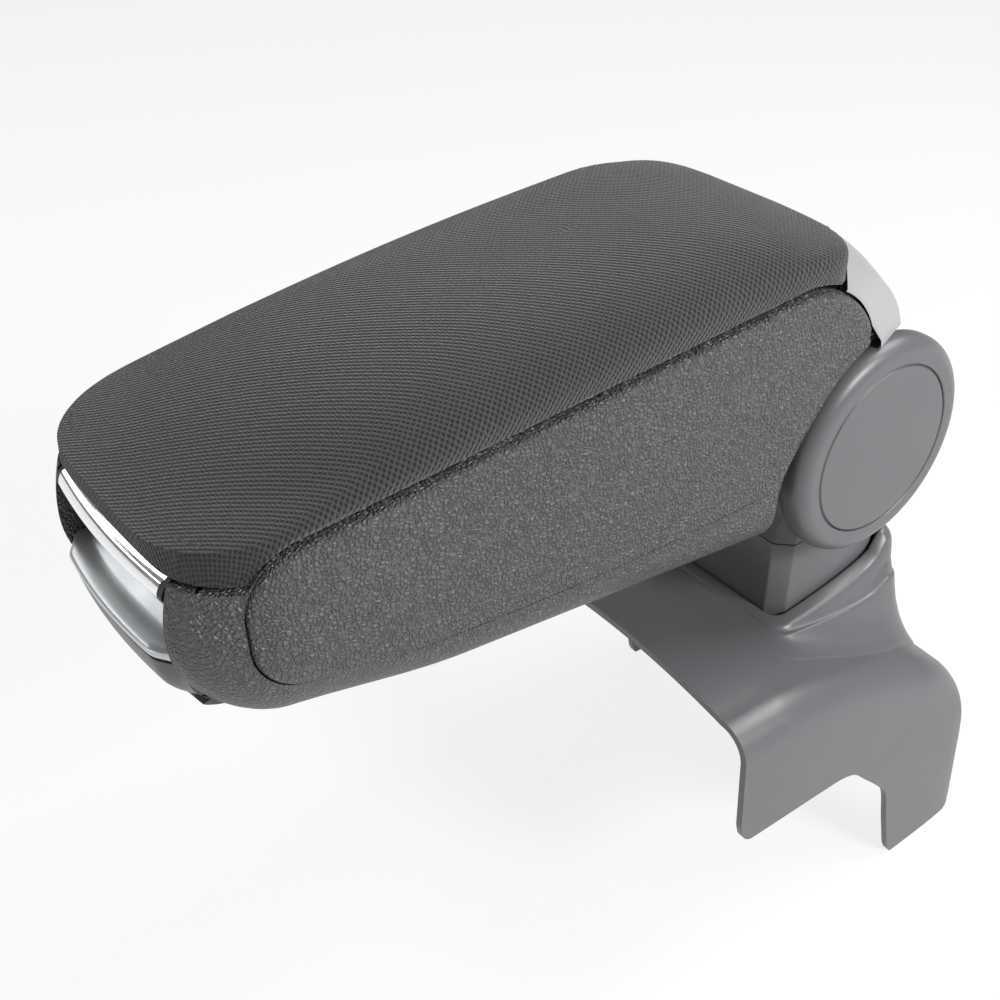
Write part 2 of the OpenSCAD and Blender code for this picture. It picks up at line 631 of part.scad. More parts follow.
module pivot_drum() {
    y0 = neck_y - half_l;
    y1 = neck_y + half_l;
    hx = neck_w / 2;
    color([0.36, 0.37, 0.39]) on_pivot() difference() {
        union() {
            drum_solid();
            loft([for (f = stub_flare)
                stub_ring(neck_top + f[0], hx + f[1], y0 - f[2], y1 - f[3], neck_flat)]);
        }
        drum_room();
        box([-hx + neck_wall, y0 + neck_wall, neck_top - 1], [hx - neck_wall, y1 - neck_wall, stub_step]);
        box([-hx + neck_wall, y0 + neck_wall, stub_step - 1], [hx - neck_wall, stub_rear, -8]);
        for (s = [-1, 1]) revolve_x() translate([0, s > 0 ? drum_half - cap_seat : -drum_half - 1])
            square([cap_r + 0.15, cap_seat + 1]);
        for (s = [-1, 1]) across(s * ear_mid - ear_t / 2 - slit_room, s * ear_mid + ear_t / 2 + slit_room)
            sector(slit_start, slit_end, rim_r + 6);
    }
}

// Round cap in each face of the drum, with a fine groove round its edge
module drum_cap() {
    seat = drum_half - cap_seat;
    revolve_x() {
        polygon([[0, seat], [cap_r, seat], [cap_r, drum_half - 0.8], [cap_r - 0.7, drum_half], [0, drum_half]]);
        translate([cap_r - 6, seat - 5]) square([2, 5.1]);
    }
}

module drum_cap_right() {
    color([0.38, 0.39, 0.41]) on_pivot() drum_cap();
}

module drum_cap_left() {
    color([0.38, 0.39, 0.41]) on_pivot() mirror([1, 0, 0]) drum_cap();
}

module neck_plan(d) {
    hx = neck_w / 2 - d;
    hy = half_l - d;
    c = max(0.5, neck_flat - 0.6 * d);
    polygon([[hx - c, -hy], [hx, -hy + c], [hx, hy - c], [hx - c, hy],
        [-hx + c, hy], [-hx, hy - c], [-hx, -hy + c], [-hx + c, -hy]]);
}

neck_screw_d = 4;
neck_screw_z = 15;

module neck_shell() {
    h = pivot_h + neck_top - plate_t - 0.6;
    color([0.33, 0.34, 0.36]) translate([0, 0, plate_t]) difference() {
        linear_extrude(h) difference() {
            neck_plan(0);
            neck_plan(neck_wall);
        }
        for (s = [-1, 1]) translate([s * (neck_w / 2 + 1), 0, neck_screw_z]) rotate([0, -90 * s, 0])
            cylinder(d = neck_screw_d + 0.5, h = neck_wall + 3);
    }
}

module neck_screws() {
    reach = neck_w / 2 - post_w / 2 + post_t;
    color([0.6, 0.61, 0.62]) for (s = [-1, 1]) translate([s * neck_w / 2, 0, plate_t + neck_screw_z])
        rotate([0, -90 * s, 0]) {
            cylinder(d = neck_screw_d, h = reach);
            translate([0, 0, -1.8]) cylinder(d = neck_screw_d * 2, h = 1.8);
        }
}

// Saddle cover: an arched sheet with aprons, each drawn as stations from front to rear
leg_step = (rear_leg - front_leg) / 68;
top_line = [[-83, -78.6], [-60, -78.8], [-50, -79.8], [-36, -82.5], [-21, -86.5], [-9, -90.5], [4, -95.5],
    [22, -102.5], [34, -107], [45, -113.5], [53, -121.5], [58, -132], [60, -143]];
leg_line = [[-83, 9], [-82.3, 5], [-80, 1.6], [-77, 0.2], [-53, 0], [-27, -0.7], [-18, -2.6], [-8, -11],
    [3, -21.8], [7, -26.4], [8.8, -31], [11, -44], [13.6, -57], [15, -63.4], [18, -68], [56, -68], [59, -66],
    [60, -60]];
function station_y(y) = y < 0 ? y * saddle_front / 83 : y * saddle_rear / 60;
function top_z(y) = lookup(y, top_line);
function leg_z(y) = -front_leg + lookup(y, leg_line) * (lookup(y, leg_line) < 0 ? leg_step : 1);
saddle_crown_front = 7;
saddle_crown_rear = 2;
corner_r = 14;
lean = tan(apron_lean);
function saddle_half_section(y, t) = let (
        yy = station_y(y),
        z1 = top_z(y) - t,
        z0 = leg_z(y),
        x1 = saddle_half - t,
        r = corner_r - t,
        zc = z1 - r,
        crown = mix(saddle_crown_front, saddle_crown_rear, ease((y + 80) / 50))
    ) concat(
        [for (u = [0, 0.3, 0.65, 1]) [x1 + (zc - mix(z0, zc, u)) * lean, yy, mix(z0, zc, u)]],
        [for (a = [18:18:90]) [x1 - r + r * cos(a), yy, zc + r * sin(a)]],
        [for (u = [0.8, 0.6, 0.4, 0.2, 0]) [(x1 - r) * u, yy, z1 + crown * (1 - u * u)]]);
function saddle_section(y, t) = let (h = saddle_half_section(y, t), n = len(h))
    concat(h, [for (i = [n - 2:-1:0]) [-h[i].x, h[i].y, h[i].z]]);
saddle_stations = [-83, -82.3, -80, -77, -65, -50, -36, -27, -18, -8, -2, 3, 7, 8.8, 11, 13.6, 15, 18, 24, 32,
    40, 46, 51, 55, 58, 60];

module saddle_sheet() {
    loft_closed([for (y = saddle_stations) let (inner = saddle_section(y, saddle_wall))
        concat(saddle_section(y, 0), [for (i = [len(inner) - 1:-1:0]) inner[i]])]);
}

// As loft, with each end closed by a strip between the first and second half of its ring
module loft_closed(rings) {
    n = len(rings[0]);
    m = len(rings);
    last_ring = (m - 1) * n;
    walls = [for (k = [0:m - 2], i = [0:n - 1]) let (j = (i + 1) % n)
        each [[k * n + i, k * n + j, (k + 1) * n + j], [k * n + i, (k + 1) * n + j, (k + 1) * n + i]]];
    first = [for (i = [0:n / 2 - 2]) each [[i, n - 2 - i, i + 1], [i, n - 1 - i, n - 2 - i]]];
    last = [for (i = [0:n / 2 - 2]) each [[last_ring + i, last_ring + i + 1, last_ring + n - 2 - i],
        [last_ring + i, last_ring + n - 2 - i, last_ring + n - 1 - i]]];
    polyhedron(points = [for (r = rings) each r], faces = concat(walls, first, last));
}

// Collar round the neck: rings of a rounded outline that step down to the saddle.
// rise_at is 0 at the saddle's surface and 1 at the collar's top edge
collar_line = [[-40, -81], [-20, -79], [0, -76], [20, -71.5], [29, -68], [34, -61], [60, -58]];
function collar_ring(grow, rise_at) = let (
        hx = neck_w / 2 + grow,
        hy = half_l + grow * 0.8,
        r = 5 + grow * 0.5,
        bow = 0.16 * grow,
        quarter = [for (a = [0:30:90]) [hx - r + r * cos(a), hy - r + r * sin(a)]],
        right = concat([for (i = [3:-1:0]) [quarter[i].x, -quarter[i].y]],
            [[hx + bow, -hy * 0.35], [hx + bow, hy * 0.35]], quarter),
        left = [for (i = [len(right) - 1:-1:0]) [-right[i].x, right[i].y]]
    ) [for (p = concat(right, left)) let (y = neck_y + p.y)
        [p.x, y, mix(top_z(y) - 1.5, lookup(y, collar_line), rise_at)]];

module saddle_cover() {
    color([0.42, 0.43, 0.45]) on_pivot() difference() {
        union() {
            saddle_sheet();
            loft([collar_ring(19, 0), collar_ring(14, 0.16), collar_ring(9.5, 0.42),
                collar_ring(8.6, 0.62), collar_ring(6.8, 0.76), collar_ring(collar_gap, 1)]);
        }
        translate([0, neck_y, -120]) linear_extrude(90) neck_plan(-collar_gap);
    }
}

// Foot plate, post, axle and what they carry
module foot_plate() {
    r = 8;
    hx = plate_w / 2 - r;
    hy = plate_l / 2 - r;
    color([0.5, 0.51, 0.53]) difference() {
        union() {
            box([-hx - r, -hy, 0], [hx + r, hy, plate_t]);
            box([-hx, -hy - r, 0], [hx, hy + r, plate_t]);
            for (x = [-hx, hx], y = [-hy, hy]) translate([x, y, 0]) cylinder(r = r, h = plate_t);
        }
        for (x = [-1, 1], y = [-1, 1]) translate([x * bolt_x / 2, y * bolt_y / 2, -1])
            cylinder(d = bolt_d, h = plate_t + 2);
    }
}

post_front = -22;
post_rear = 18;
post_top_r = 16;

module post() {
    w = post_w / 2;
    base = plate_t - pivot_h;
    color([0.5, 0.51, 0.53]) on_pivot() difference() {
        union() {
            for (x = [-w, w - post_t]) across(x, x + post_t) {
                circle(r = post_top_r);
                polygon([[-post_top_r, 0], stop_down + [-6, 2], stop_down + [-5, -4.5],
                    stop_down + [-0.6, -8.5], [post_front + neck_y, stop_down.y - 18],
                    [post_front + neck_y, base], [post_rear + neck_y, base], [post_top_r, 0]]);
                polygon([[0, 0], [post_top_r, 0], stop_up + [6, -1], stop_up + [5, 5], stop_up + [-4, 6],
                    [-4, 15]]);
            }
            box([-w, post_rear + neck_y - post_t, base], [w, post_rear + neck_y, base + 60]);
            box([-w, post_front + neck_y + 6, base], [w, post_rear + neck_y, base + post_t]);
        }
        rod_x(axle_d + 2 * run, -w - 1, w + 1, 0, 0);
        for (p = [stop_down, stop_up]) rod_x(stop_d + 2 * run, -w - 1, w + 1, p.x, p.y);
        for (s = [-1, 1]) rod_x(neck_screw_d + 0.2, s * w - 4, s * w + 4, neck_y, base + neck_screw_z);
    }
}

// Two pins through the cheeks: the arm's ears rest on one and meet the other when folded
stop_d = 6;
stop_down = [-18, -17.8];
stop_up_r = 22;
stop_up_a = 170.6 - fold_limit - asin(stop_d / 2 / stop_up_r) - 5.8;
stop_up = stop_up_r * [cos(stop_up_a), sin(stop_up_a)];

module stop_pins() {
    w = ear_x + ear_t + 1;
    color([0.55, 0.56, 0.58]) on_pivot() for (p = [stop_down, stop_up]) rod_x(stop_d, -w, w, p.x, p.y);
}

axle_end = ear_x + ear_t + 9;

module pivot_axle() {
    color([0.7, 0.71, 0.73]) on_pivot() {
        rod_x(axle_d, -ear_x - ear_t - 3, axle_end, 0, 0);
        translate([-ear_x - ear_t - 3 - 5, 0, 0]) rotate([0, 90, 0]) cylinder(d = axle_d * 1.7, h = 5, $fn = 6);
    }
}

module axle_nut() {
    color([0.7, 0.71, 0.73]) on_pivot() difference() {
        translate([ear_x + ear_t + 3, 0, 0]) rotate([0, 90, 0]) cylinder(d = axle_d * 1.7, h = 5, $fn = 6);
        rod_x(axle_d + 2 * run, 0, 90, 0, 0);
    }
}

module ring_x(od, id, x0, x1) {
    difference() {
        rod_x(od, x0, x1, 0, 0);
        rod_x(id, x0 - 1, x1 + 1, 0, 0);
    }
}

module axle_washers() {
    color([0.72, 0.73, 0.75]) on_pivot() for (s = [-1, 1]) ring_x(axle_d + 12, axle_d + 2 * run,
        s > 0 ? ear_x + ear_t + 1.4 : -ear_x - ear_t - 3, s > 0 ? ear_x + ear_t + 3 : -ear_x - ear_t - 1.4);
}

// Two coned spring washers that load the pivot
module friction_springs() {
    in_r = axle_d / 2 + 0.1;
    out_r = axle_d / 2 + 5.5;
    cone = [[in_r, 0.1], [out_r, 0.5], [out_r, 1.3], [in_r, 0.9]];
    color([0.45, 0.46, 0.48]) on_pivot() for (s = [-1, 1]) revolve_x()
        polygon([for (p = cone) [p.x, s * (ear_x + ear_t + p.y)]]);
}

bush_d = axle_d + 3;

module bush_ring() {
    ring_x(bush_d, axle_d + 2 * run, ear_x - 2.8, ear_x + ear_t);
    ring_x(bush_d + 8, axle_d + 2 * run, ear_x - 2.8, ear_x - 0.1);
}

module bush_right() {
    color([0.85, 0.84, 0.8]) on_pivot() bush_ring();
}

module bush_left() {
    color([0.85, 0.84, 0.8]) on_pivot() mirror([1, 0, 0]) bush_ring();
}

// Folded steel bracket: two ears on the axle and a plate under the bin
ear_r = 15;

module arm_bracket() {
    plate_z = bracket_z(plate_y);
    sheet = 3;
    color([0.52, 0.53, 0.55]) on_pivot() difference() {
        union() {
            for (s = [-1, 1]) across(s * ear_mid - ear_t / 2, s * ear_mid + ear_t / 2) {
                circle(r = ear_r);
                polygon([[0, ear_r], [-ear_r, 6], [-62, 0], [-70, bracket_z(-70) + 12],
                    [-150, bracket_z(-150) + 12], [-150, bracket_z(-150) + 0.6], [-70, bracket_z(-70) + 0.6],
                    [-58, bracket_z(-58) + 0.8], [-40, -17], [-8, -13.5], [0, -ear_r]]);
            }
            translate([0, plate_y, plate_z]) rotate([plate_lean, 0, 0])
                translate([-ear_x - ear_t, -36, 0.6]) cube([2 * (ear_x + ear_t), 72, sheet]);
        }
        rod_x(bush_d + 2 * run, -ear_x - ear_t - 1, ear_x + ear_t + 1, 0, 0);
        for (s = [-1, 1], p = screw_at) translate([s * p.x, p.y, under(p.y) - 5])
            cylinder(d = screw_d + 2 * run, h = 16);
    }
}

module bracket_screws() {
    color([0.6, 0.61, 0.62]) on_pivot() for (s = [-1, 1], p = screw_at) translate([s * p.x, p.y, under(p.y)]) {
        translate([0, 0, -2.6]) cylinder(d = screw_d * 1.9, h = 2);
        translate([0, 0, -1]) cylinder(d = screw_d, h = floor_wall + 5);
    }
}

foot_plate();
post();
stop_pins();
neck_shell();
pivot_drum();
drum_cap_left();
drum_cap_right();
pivot_axle();
axle_nut();
axle_washers();
friction_springs();
saddle_cover();
neck_screws();
arm_bracket();
bush_left();
bush_right();
bracket_screws();
body_shell();
side_panel_left();
side_panel_right();
front_trim();
trim_lip();
chin_cover();
storage_bin();
latch_striker();
hinge_bracket();
hinge_cover();
lid_hinge_pin();
lid_cushion();
lid_board();
latch_pin();
latch_lever();
latch_bar();
latch_spring();
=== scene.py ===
import bisect
import json
import math

import bmesh
import bpy
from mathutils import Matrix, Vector
from mathutils.bvhtree import BVHTree


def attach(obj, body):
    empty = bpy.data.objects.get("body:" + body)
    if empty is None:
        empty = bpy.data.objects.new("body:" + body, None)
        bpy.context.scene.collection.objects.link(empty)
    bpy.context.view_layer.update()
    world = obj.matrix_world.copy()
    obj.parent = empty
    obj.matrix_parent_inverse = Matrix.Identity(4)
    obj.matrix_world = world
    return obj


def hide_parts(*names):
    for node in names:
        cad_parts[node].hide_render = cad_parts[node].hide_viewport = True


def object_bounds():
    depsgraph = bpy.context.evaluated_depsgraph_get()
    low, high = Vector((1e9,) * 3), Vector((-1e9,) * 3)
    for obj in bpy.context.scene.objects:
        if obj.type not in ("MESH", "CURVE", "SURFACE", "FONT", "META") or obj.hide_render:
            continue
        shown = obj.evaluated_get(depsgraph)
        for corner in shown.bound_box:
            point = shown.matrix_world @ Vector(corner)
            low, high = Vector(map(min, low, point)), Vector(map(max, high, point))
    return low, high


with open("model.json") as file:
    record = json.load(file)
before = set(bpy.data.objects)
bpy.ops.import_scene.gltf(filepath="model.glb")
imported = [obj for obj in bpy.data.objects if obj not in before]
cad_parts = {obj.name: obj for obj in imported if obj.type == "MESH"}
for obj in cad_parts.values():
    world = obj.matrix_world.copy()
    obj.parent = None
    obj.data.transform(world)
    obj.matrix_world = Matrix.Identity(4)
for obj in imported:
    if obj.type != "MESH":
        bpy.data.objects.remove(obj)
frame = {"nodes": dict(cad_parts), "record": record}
nodes = frame["nodes"]
cad_lo, cad_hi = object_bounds()

# The part's own measures in millimetres, about the pivot axis: y is forward when negative
PIVOT_H, PIVOT_FWD = 128, 8
RIM_R, WAIST_R, DRUM_HALF, DRUM_WALL, CAP_R = 43, 37, 55, 2.6, 33
# Body: its plan, the seam under the lid, the underside, the lower edge, the walls and the rear
ARM_HALF, FRONT_Y, FRONT_R, REAR_R, LEAST_R = 55, -264, 24, 6, 3
FRONT_BOW, BOW_FROM, BOW_RUN = 3, 60, 50
SEAM_FRONT, CORNER_Z, RISE = 55.6, 49.5, math.tan(math.radians(5))
UNDER_FRONT, FALL = -1, math.tan(math.radians(5.1))
BELLY, BELLY_FROM, BELLY_RUN = 2, 25, 60
LOWER_R, LOWER_SWEEP, FRONT_LOWER, FRONT_REACH = 18, 7, 33, 80
BODY_WALL, FLOOR_WALL, FRONT_WALL, FRONT_WALL_GAIN = 7, 3, 2, 3
FRONT_BULGE, RIM_LEAN, POCKET_Y = 1, 2, FRONT_Y + 19
BODY_TAIL, CLEAR_R, REAR_RELIEF, RELIEF_H = 14, 49.6, 5.5, 30
# Side panels, with the arcs at their upper front corner and at their tail
PANEL_R, PANEL_TAIL_R, PANEL_DEPTH, PANEL_GAP = 18, 38, 4, 0.8
PANEL_ARC_Y, PANEL_TAIL_Y, PANEL_FOOT_Z = FRONT_Y + 31, -50, 33
PANEL_LOW, LOW_FROM, LOW_TO = 4.6, -105, -227
# Lid, its hinge and the latch bar
CROWN_H, LID_GAP, BOARD_T, LID_REAR, LID_CORNER = 20, 1.9, 2.6, 24, 18
CROWN_FRONT, CROWN_TAIL, MID_Y = 160, 150, -105
HINGE_Z, HINGE_FWD = 80, 20.5
BAR_HALF, BAR_TOP, BAR_H = 32.5, 49.6, 6
LIP_Z = 24
# Neck, saddle cover, and the arm bracket's ears and screws
NECK_HX, NECK_HY, NECK_FLAT, NECK_WALL, NECK_TOP, FOOT_T = 35, 30, 6, 2.5, -47, 3
COLLAR_GAP, SADDLE_HALF, SADDLE_WALL, FRONT_LEG = 1.4, 79, 2.8, 130
SADDLE_FRONT, FRONT_EDGE, SADDLE_CORNER, LEAN = -83, -81, 14, math.tan(math.radians(3.5))
EAR_X, EAR_HALF = 30, 2.8
SCREW_X, SCREW_YS, SCREW_HOLE_D = 22, (-90, -138), 5.5


def ease(t):
    u = min(1.0, max(0.0, t))
    return u * u * (3 - 2 * u)


def mix(a, b, t):
    return a + (b - a) * t


def cosd(a):
    return math.cos(math.radians(a))


def sind(a):
    return math.sin(math.radians(a))


def steps(a, b, n):
    """n + 1 even values from a to b."""
    return [mix(a, b, i / n) for i in range(n + 1)]


def curve_at(line):
    """Smooth curve through points (x, y) of rising x that doesn't overshoot them."""
    xs, ys = [p[0] for p in line], [p[1] for p in line]
    n = len(xs)
    slope = [(ys[i + 1] - ys[i]) / (xs[i + 1] - xs[i]) for i in range(n - 1)]
    lean = [slope[0]] + [0 if slope[i - 1] * slope[i] <= 0 else
                         2 * slope[i - 1] * slope[i] / (slope[i - 1] + slope[i])
                         for i in range(1, n - 1)] + [slope[-1]]

    def value(x):
        x = min(max(x, xs[0]), xs[-1])
        i = min(max(bisect.bisect_right(xs, x) - 1, 0), n - 2)
        w = xs[i + 1] - xs[i]
        t = (x - xs[i]) / w
        return ((2 * t ** 3 - 3 * t * t + 1) * ys[i] + (t ** 3 - 2 * t * t + t) * w * lean[i]
                + (3 * t * t - 2 * t ** 3) * ys[i + 1] + (t ** 3 - t * t) * w * lean[i + 1])
    return value


def spline(points, per):
    """Catmull-Rom curve through points, with per steps between each two."""
    n, out = len(points), []
    for i in range(n - 1):
        p = [points[min(max(i + k, 0), n - 1)] for k in (-1, 0, 1, 2)]
        for s in range(per):
            t = s / per
            out.append(tuple(0.5 * (2 * b + (c - a) * t + (2 * a - 5 * b + 4 * c - d) * t * t
                                    + (3 * b - a - 3 * c + d) * t ** 3) for a, b, c, d in zip(*p)))
    return out + [tuple(points[-1])]


def mirrored(half):
    """A closed outline from its right half, whose first and last points lie on the middle."""
    return half + [(-p[0],) + tuple(p[1:]) for p in half[-2:0:-1]]


def rounded(poly, r, n=4):
    """Convex outline with each corner rounded to radius r."""
    out, count = [], len(poly)
    for i in range(count):
        a, b, c = (Vector(poly[(i + k) % count]) for k in (-1, 0, 1))
        u, v = (a - b).normalized(), (c - b).normalized()
        half = u.angle(v) / 2
        cut = min(r / math.tan(half), 0.45 * (a - b).length, 0.45 * (c - b).length)
        rr = cut * math.tan(half)
        mid = b + (u + v).normalized() * (rr / math.sin(half))
        p, q = b + u * cut - mid, b + v * cut - mid
        turn = p.angle(q)
        for k in range(n + 1):
            w = k / n
            arm = p * math.sin((1 - w) * turn) + q * math.sin(w * turn)
            out.append(tuple(mid + arm / math.sin(turn)))
    return out


def lofted(rings, ends="both"):
    """Points and faces of a skin through rings; each end is closed by a fan about its middle, or ends
    is "floor" for a fan at the height of the ring beside it, "flat" for one plain face at each end,
    "open" for no ends, or "loop" for a skin that closes on itself."""
    n, m = len(rings[0]), len(rings)
    points = [p for r in rings for p in r]
    last = m if ends == "loop" else m - 1
    faces = [(k * n + i, k * n + (i + 1) % n, (k + 1) % m * n + (i + 1) % n, (k + 1) % m * n + i)
             for k in range(last) for i in range(n)]
    if ends == "flat":
        faces += [tuple(range(n)), tuple((m - 1) * n + i for i in reversed(range(n)))]
    elif ends in ("both", "floor"):
        for k in (0, m - 1):
            centre = [sum(p[a] for p in rings[k]) / n for a in range(3)]
            if ends == "floor":
                centre[1:] = min(rings[k], key=lambda p: abs(p[1] - centre[1]))[1:]
            points.append(tuple(centre))
            faces += [(len(points) - 1, k * n + (i + 1) % n, k * n + i) for i in range(n)]
    return points, faces


def place(p):
    """From millimetres about the pivot axis to metres in the frame."""
    return (p[0] / 1000, (p[1] - PIVOT_FWD) / 1000, (p[2] + PIVOT_H) / 1000)


def add_object(name, data):
    ob = bpy.data.objects.new(name, data)
    bpy.context.scene.collection.objects.link(ob)
    return ob


def clean(me, merge=None):
    """Turns all faces outwards, after points within merge of each other are joined."""
    bm = bmesh.new()
    bm.from_mesh(me)
    if merge:
        bmesh.ops.remove_doubles(bm, verts=bm.verts, dist=merge)
    bmesh.ops.recalc_face_normals(bm, faces=bm.faces)
    bm.to_mesh(me)
    bm.free()


def make(name, points, faces, merge=1e-6):
    """An object from points in millimetres about the pivot axis."""
    me = bpy.data.meshes.new(name)
    me.from_pydata([place(p) for p in points], [], faces)
    clean(me, merge)
    return add_object(name, me)


def apply_all(ob):
    """Puts what the modifiers make of the mesh in its place."""
    dg = bpy.context.evaluated_depsgraph_get()
    me = bpy.data.meshes.new_from_object(ob.evaluated_get(dg))
    ob.modifiers.clear()
    ob.data = me
    return ob


def cut(ob, *tools, operation="DIFFERENCE"):
    """Takes the tools' solids from ob, or joins them to it, and removes the tools."""
    for t in tools:
        m = ob.modifiers.new("cut", "BOOLEAN")
        m.operation, m.solver, m.object = operation, "MANIFOLD", t
        apply_all(ob)
    for t in tools:
        bpy.data.objects.remove(t)
    return ob


def prism_x(outline, x0, x1, name="tool"):
    return make(name, *lofted([[(x, y, z) for y, z in outline] for x in (x0, x1)], "flat"))


def prism_z(outline, z0, z1):
    return make("tool", *lofted([[(x, y, z) for x, y in outline] for z in (z0, z1)], "flat"))


def block(lo, hi):
    x0, y0, z0 = lo
    x1, y1, z1 = hi
    return prism_z([(x0, y0), (x1, y0), (x1, y1), (x0, y1)], z0, z1)


def lathe_x(profile, n=160):
    """Skin turned about the pivot axis from (x, radius) points, closed by a fan at each end."""
    return lofted([[(x, r * cosd(360 * i / n), r * sind(360 * i / n)) for i in range(n)] for x, r in profile])


def rod_z(d, x, y, z0, z1):
    return prism_z([(x + d / 2 * cosd(a), y + d / 2 * sind(a)) for a in range(0, 360, 15)], z0, z1)


def finish_piece(ob, body, mat, slot, *stands_for, angle=30):
    """Smooth shading with edges kept where faces meet at more than angle, then material and body."""
    me = ob.data
    me.materials.clear()
    me.materials.append(mat)
    for p in me.polygons:
        p.material_index = 0
    me.shade_smooth()
    me.set_sharp_from_angle(angle=math.radians(angle))
    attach(ob, body)
    if stands_for:
        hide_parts(*stands_for)
    return ob


# Materials

class Nodes:
    """Short names for building a material's nodes."""

    def __init__(self, name):
        self.mat = bpy.data.materials.new(name)
        self.mat.use_nodes = True
        self.tree = self.mat.node_tree
        self.bsdf = self.tree.nodes["Principled BSDF"]

    def add(self, kind, inputs=(), **settings):
        node = self.tree.nodes.new(kind)
        for k, v in settings.items():
            setattr(node, k, v)
        for k, v in dict(inputs).items():
            if hasattr(v, "is_output"):
                self.tree.links.new(v, node.inputs[k])
            else:
                node.inputs[k].default_value = v
        return node

    def object_coords(self):
        return self.add("ShaderNodeTexCoord").outputs["Object"]

    def noise(self, coords, scale, detail=2.0, rough=0.5):
        return self.add("ShaderNodeTexNoise", {"Vector": coords, "Scale": scale, "Detail": detail,
                                               "Roughness": rough}).outputs["Fac"]

    def span(self, value, a0, a1, b0, b1):
        return self.add("ShaderNodeMapRange", {"Value": value, "From Min": a0, "From Max": a1,
                                               "To Min": b0, "To Max": b1}).outputs["Result"]

    def math(self, operation, a, b=0.0):
        return self.add("ShaderNodeMath", {0: a, 1: b}, operation=operation).outputs[0]

    def blend(self, fac, dark, light):
        """Colour between dark and light, which are the sockets 6 and 7 of a mix of colours."""
        node = self.add("ShaderNodeMix", {0: fac, 6: (*dark, 1), 7: (*light, 1)}, data_type="RGBA")
        return node.outputs[2]

    def bump(self, height, strength, distance):
        node = self.add("ShaderNodeBump", {"Height": height, "Strength": strength, "Distance": distance})
        self.tree.links.new(node.outputs[0], self.bsdf.inputs["Normal"])

    def shade(self, **sockets):
        """Sets or links the shader's own sockets, named with _ for each space."""
        for k, v in sockets.items():
            socket = self.bsdf.inputs[k.replace("_", " ")]
            if hasattr(v, "is_output"):
                self.tree.links.new(v, socket)
            else:
                socket.default_value = v


def tint(c, k):
    return tuple(min(1.0, x * k) for x in c)


def grained(name, colour, rough):
    """Moulded plastic with a leather grain: pebbles of about cell metres between fine creases."""
    cell, crease, deep, spread = 0.0015, 0.32, 0.0007, 0.14
    n = Nodes(name)
    at = n.object_coords()
    warp = n.add("ShaderNodeTexNoise", {"Vector": at, "Scale": 420.0, "Detail": 1.0}).outputs["Color"]
    bent = n.add("ShaderNodeMix", {0: 0.0012, 4: at, 5: warp}, data_type="VECTOR").outputs[1]
    creases = n.add("ShaderNodeTexVoronoi", {"Vector": bent, "Scale": 1 / cell, "Randomness": 1.0},
                    feature="DISTANCE_TO_EDGE").outputs["Distance"]
    pebbles = n.span(creases, 0.0, crease, 0.0, 1.0)
    fine, broad = n.noise(at, 2600.0, 2.0), n.noise(at, 22.0, 2.0)
    shade = n.math("ADD", n.math("MULTIPLY", pebbles, 0.55), n.math("MULTIPLY", broad, 0.45))
    dull = n.math("ADD", n.math("MULTIPLY", pebbles, 0.5), n.math("MULTIPLY", fine, 0.5))
    n.shade(Base_Color=n.blend(shade, tint(colour, 1 - spread), tint(colour, 1 + spread)),
            Roughness=n.span(dull, 0.0, 1.0, rough + 0.12, rough - 0.06))
    n.bump(n.math("ADD", pebbles, n.math("MULTIPLY", fine, 0.28)), 1.0, deep)
    return n.mat


def smooth_plastic(name, colour, rough, strength=0.14, **more):
    """Smooth moulded plastic with a very fine spark texture and slight change of tone."""
    spark, deep, spread = 900.0, 0.0002, 0.05
    n = Nodes(name)
    at = n.object_coords()
    fine, broad = n.noise(at, spark, 3.0, 0.6), n.noise(at, 14.0, 2.0)
    n.shade(Base_Color=n.blend(broad, tint(colour, 1 - spread), tint(colour, 1 + spread)),
            Roughness=n.span(n.noise(at, 60.0, 3.0), 0.3, 0.7, rough - 0.03, rough + 0.04), **more)
    n.bump(fine, strength, deep)
    return n.mat


def metal(name, colour, rough, stretch):
    """Drawn or plated metal: fine marks, drawn out by stretch, and slight change of gloss."""
    n = Nodes(name)
    at = n.add("ShaderNodeMapping", {"Vector": n.object_coords(), "Scale": stretch}).outputs[0]
    marks, broad = n.noise(at, 900.0, 4.0, 0.65), n.noise(at, 40.0, 2.0)
    n.shade(Base_Color=n.blend(broad, tint(colour, 0.93), tint(colour, 1.05)), Metallic=1.0,
            Roughness=n.span(marks, 0.3, 0.7, rough - 0.05, rough + 0.07))
    n.bump(marks, 0.05, 0.0001)
    return n.mat


def knitted(name, dark, light):
    """Knitted cover: slanting rows of small loops round dark holes, with fuzz and a soft sheen. The
    cloth's coordinates are in tenths of a metre."""
    rows, slant = 70.0, math.radians(45)
    n = Nodes(name)
    at = n.add("ShaderNodeTexCoord").outputs["UV"]
    turned = n.add("ShaderNodeMapping", {"Vector": at, "Rotation": (0, 0, slant),
                                         "Scale": (rows, rows, 1.0)}).outputs[0]
    holes = n.add("ShaderNodeTexVoronoi", {"Vector": turned, "Scale": 1.0, "Randomness": 0.12},
                  voronoi_dimensions="2D", feature="F1").outputs["Distance"]
    loops = n.span(holes, 0.12, 0.52, 0.0, 1.0)
    fibre = n.noise(at, 420.0, 3.0, 0.7)
    broad = n.noise(at, 3.0, 2.0)
    tone = n.math("MULTIPLY", loops, n.span(fibre, 0.25, 0.75, 0.62, 1.25))
    tone = n.math("MULTIPLY", tone, n.span(broad, 0.3, 0.7, 0.9, 1.1))
    n.shade(Base_Color=n.blend(tone, dark, light), Roughness=n.span(fibre, 0.2, 0.8, 0.82, 0.96),
            Sheen_Weight=0.25, Sheen_Roughness=0.45)
    n.bump(n.math("ADD", loops, n.math("MULTIPLY", fibre, 0.35)), 0.75, 0.0006)
    return n.mat


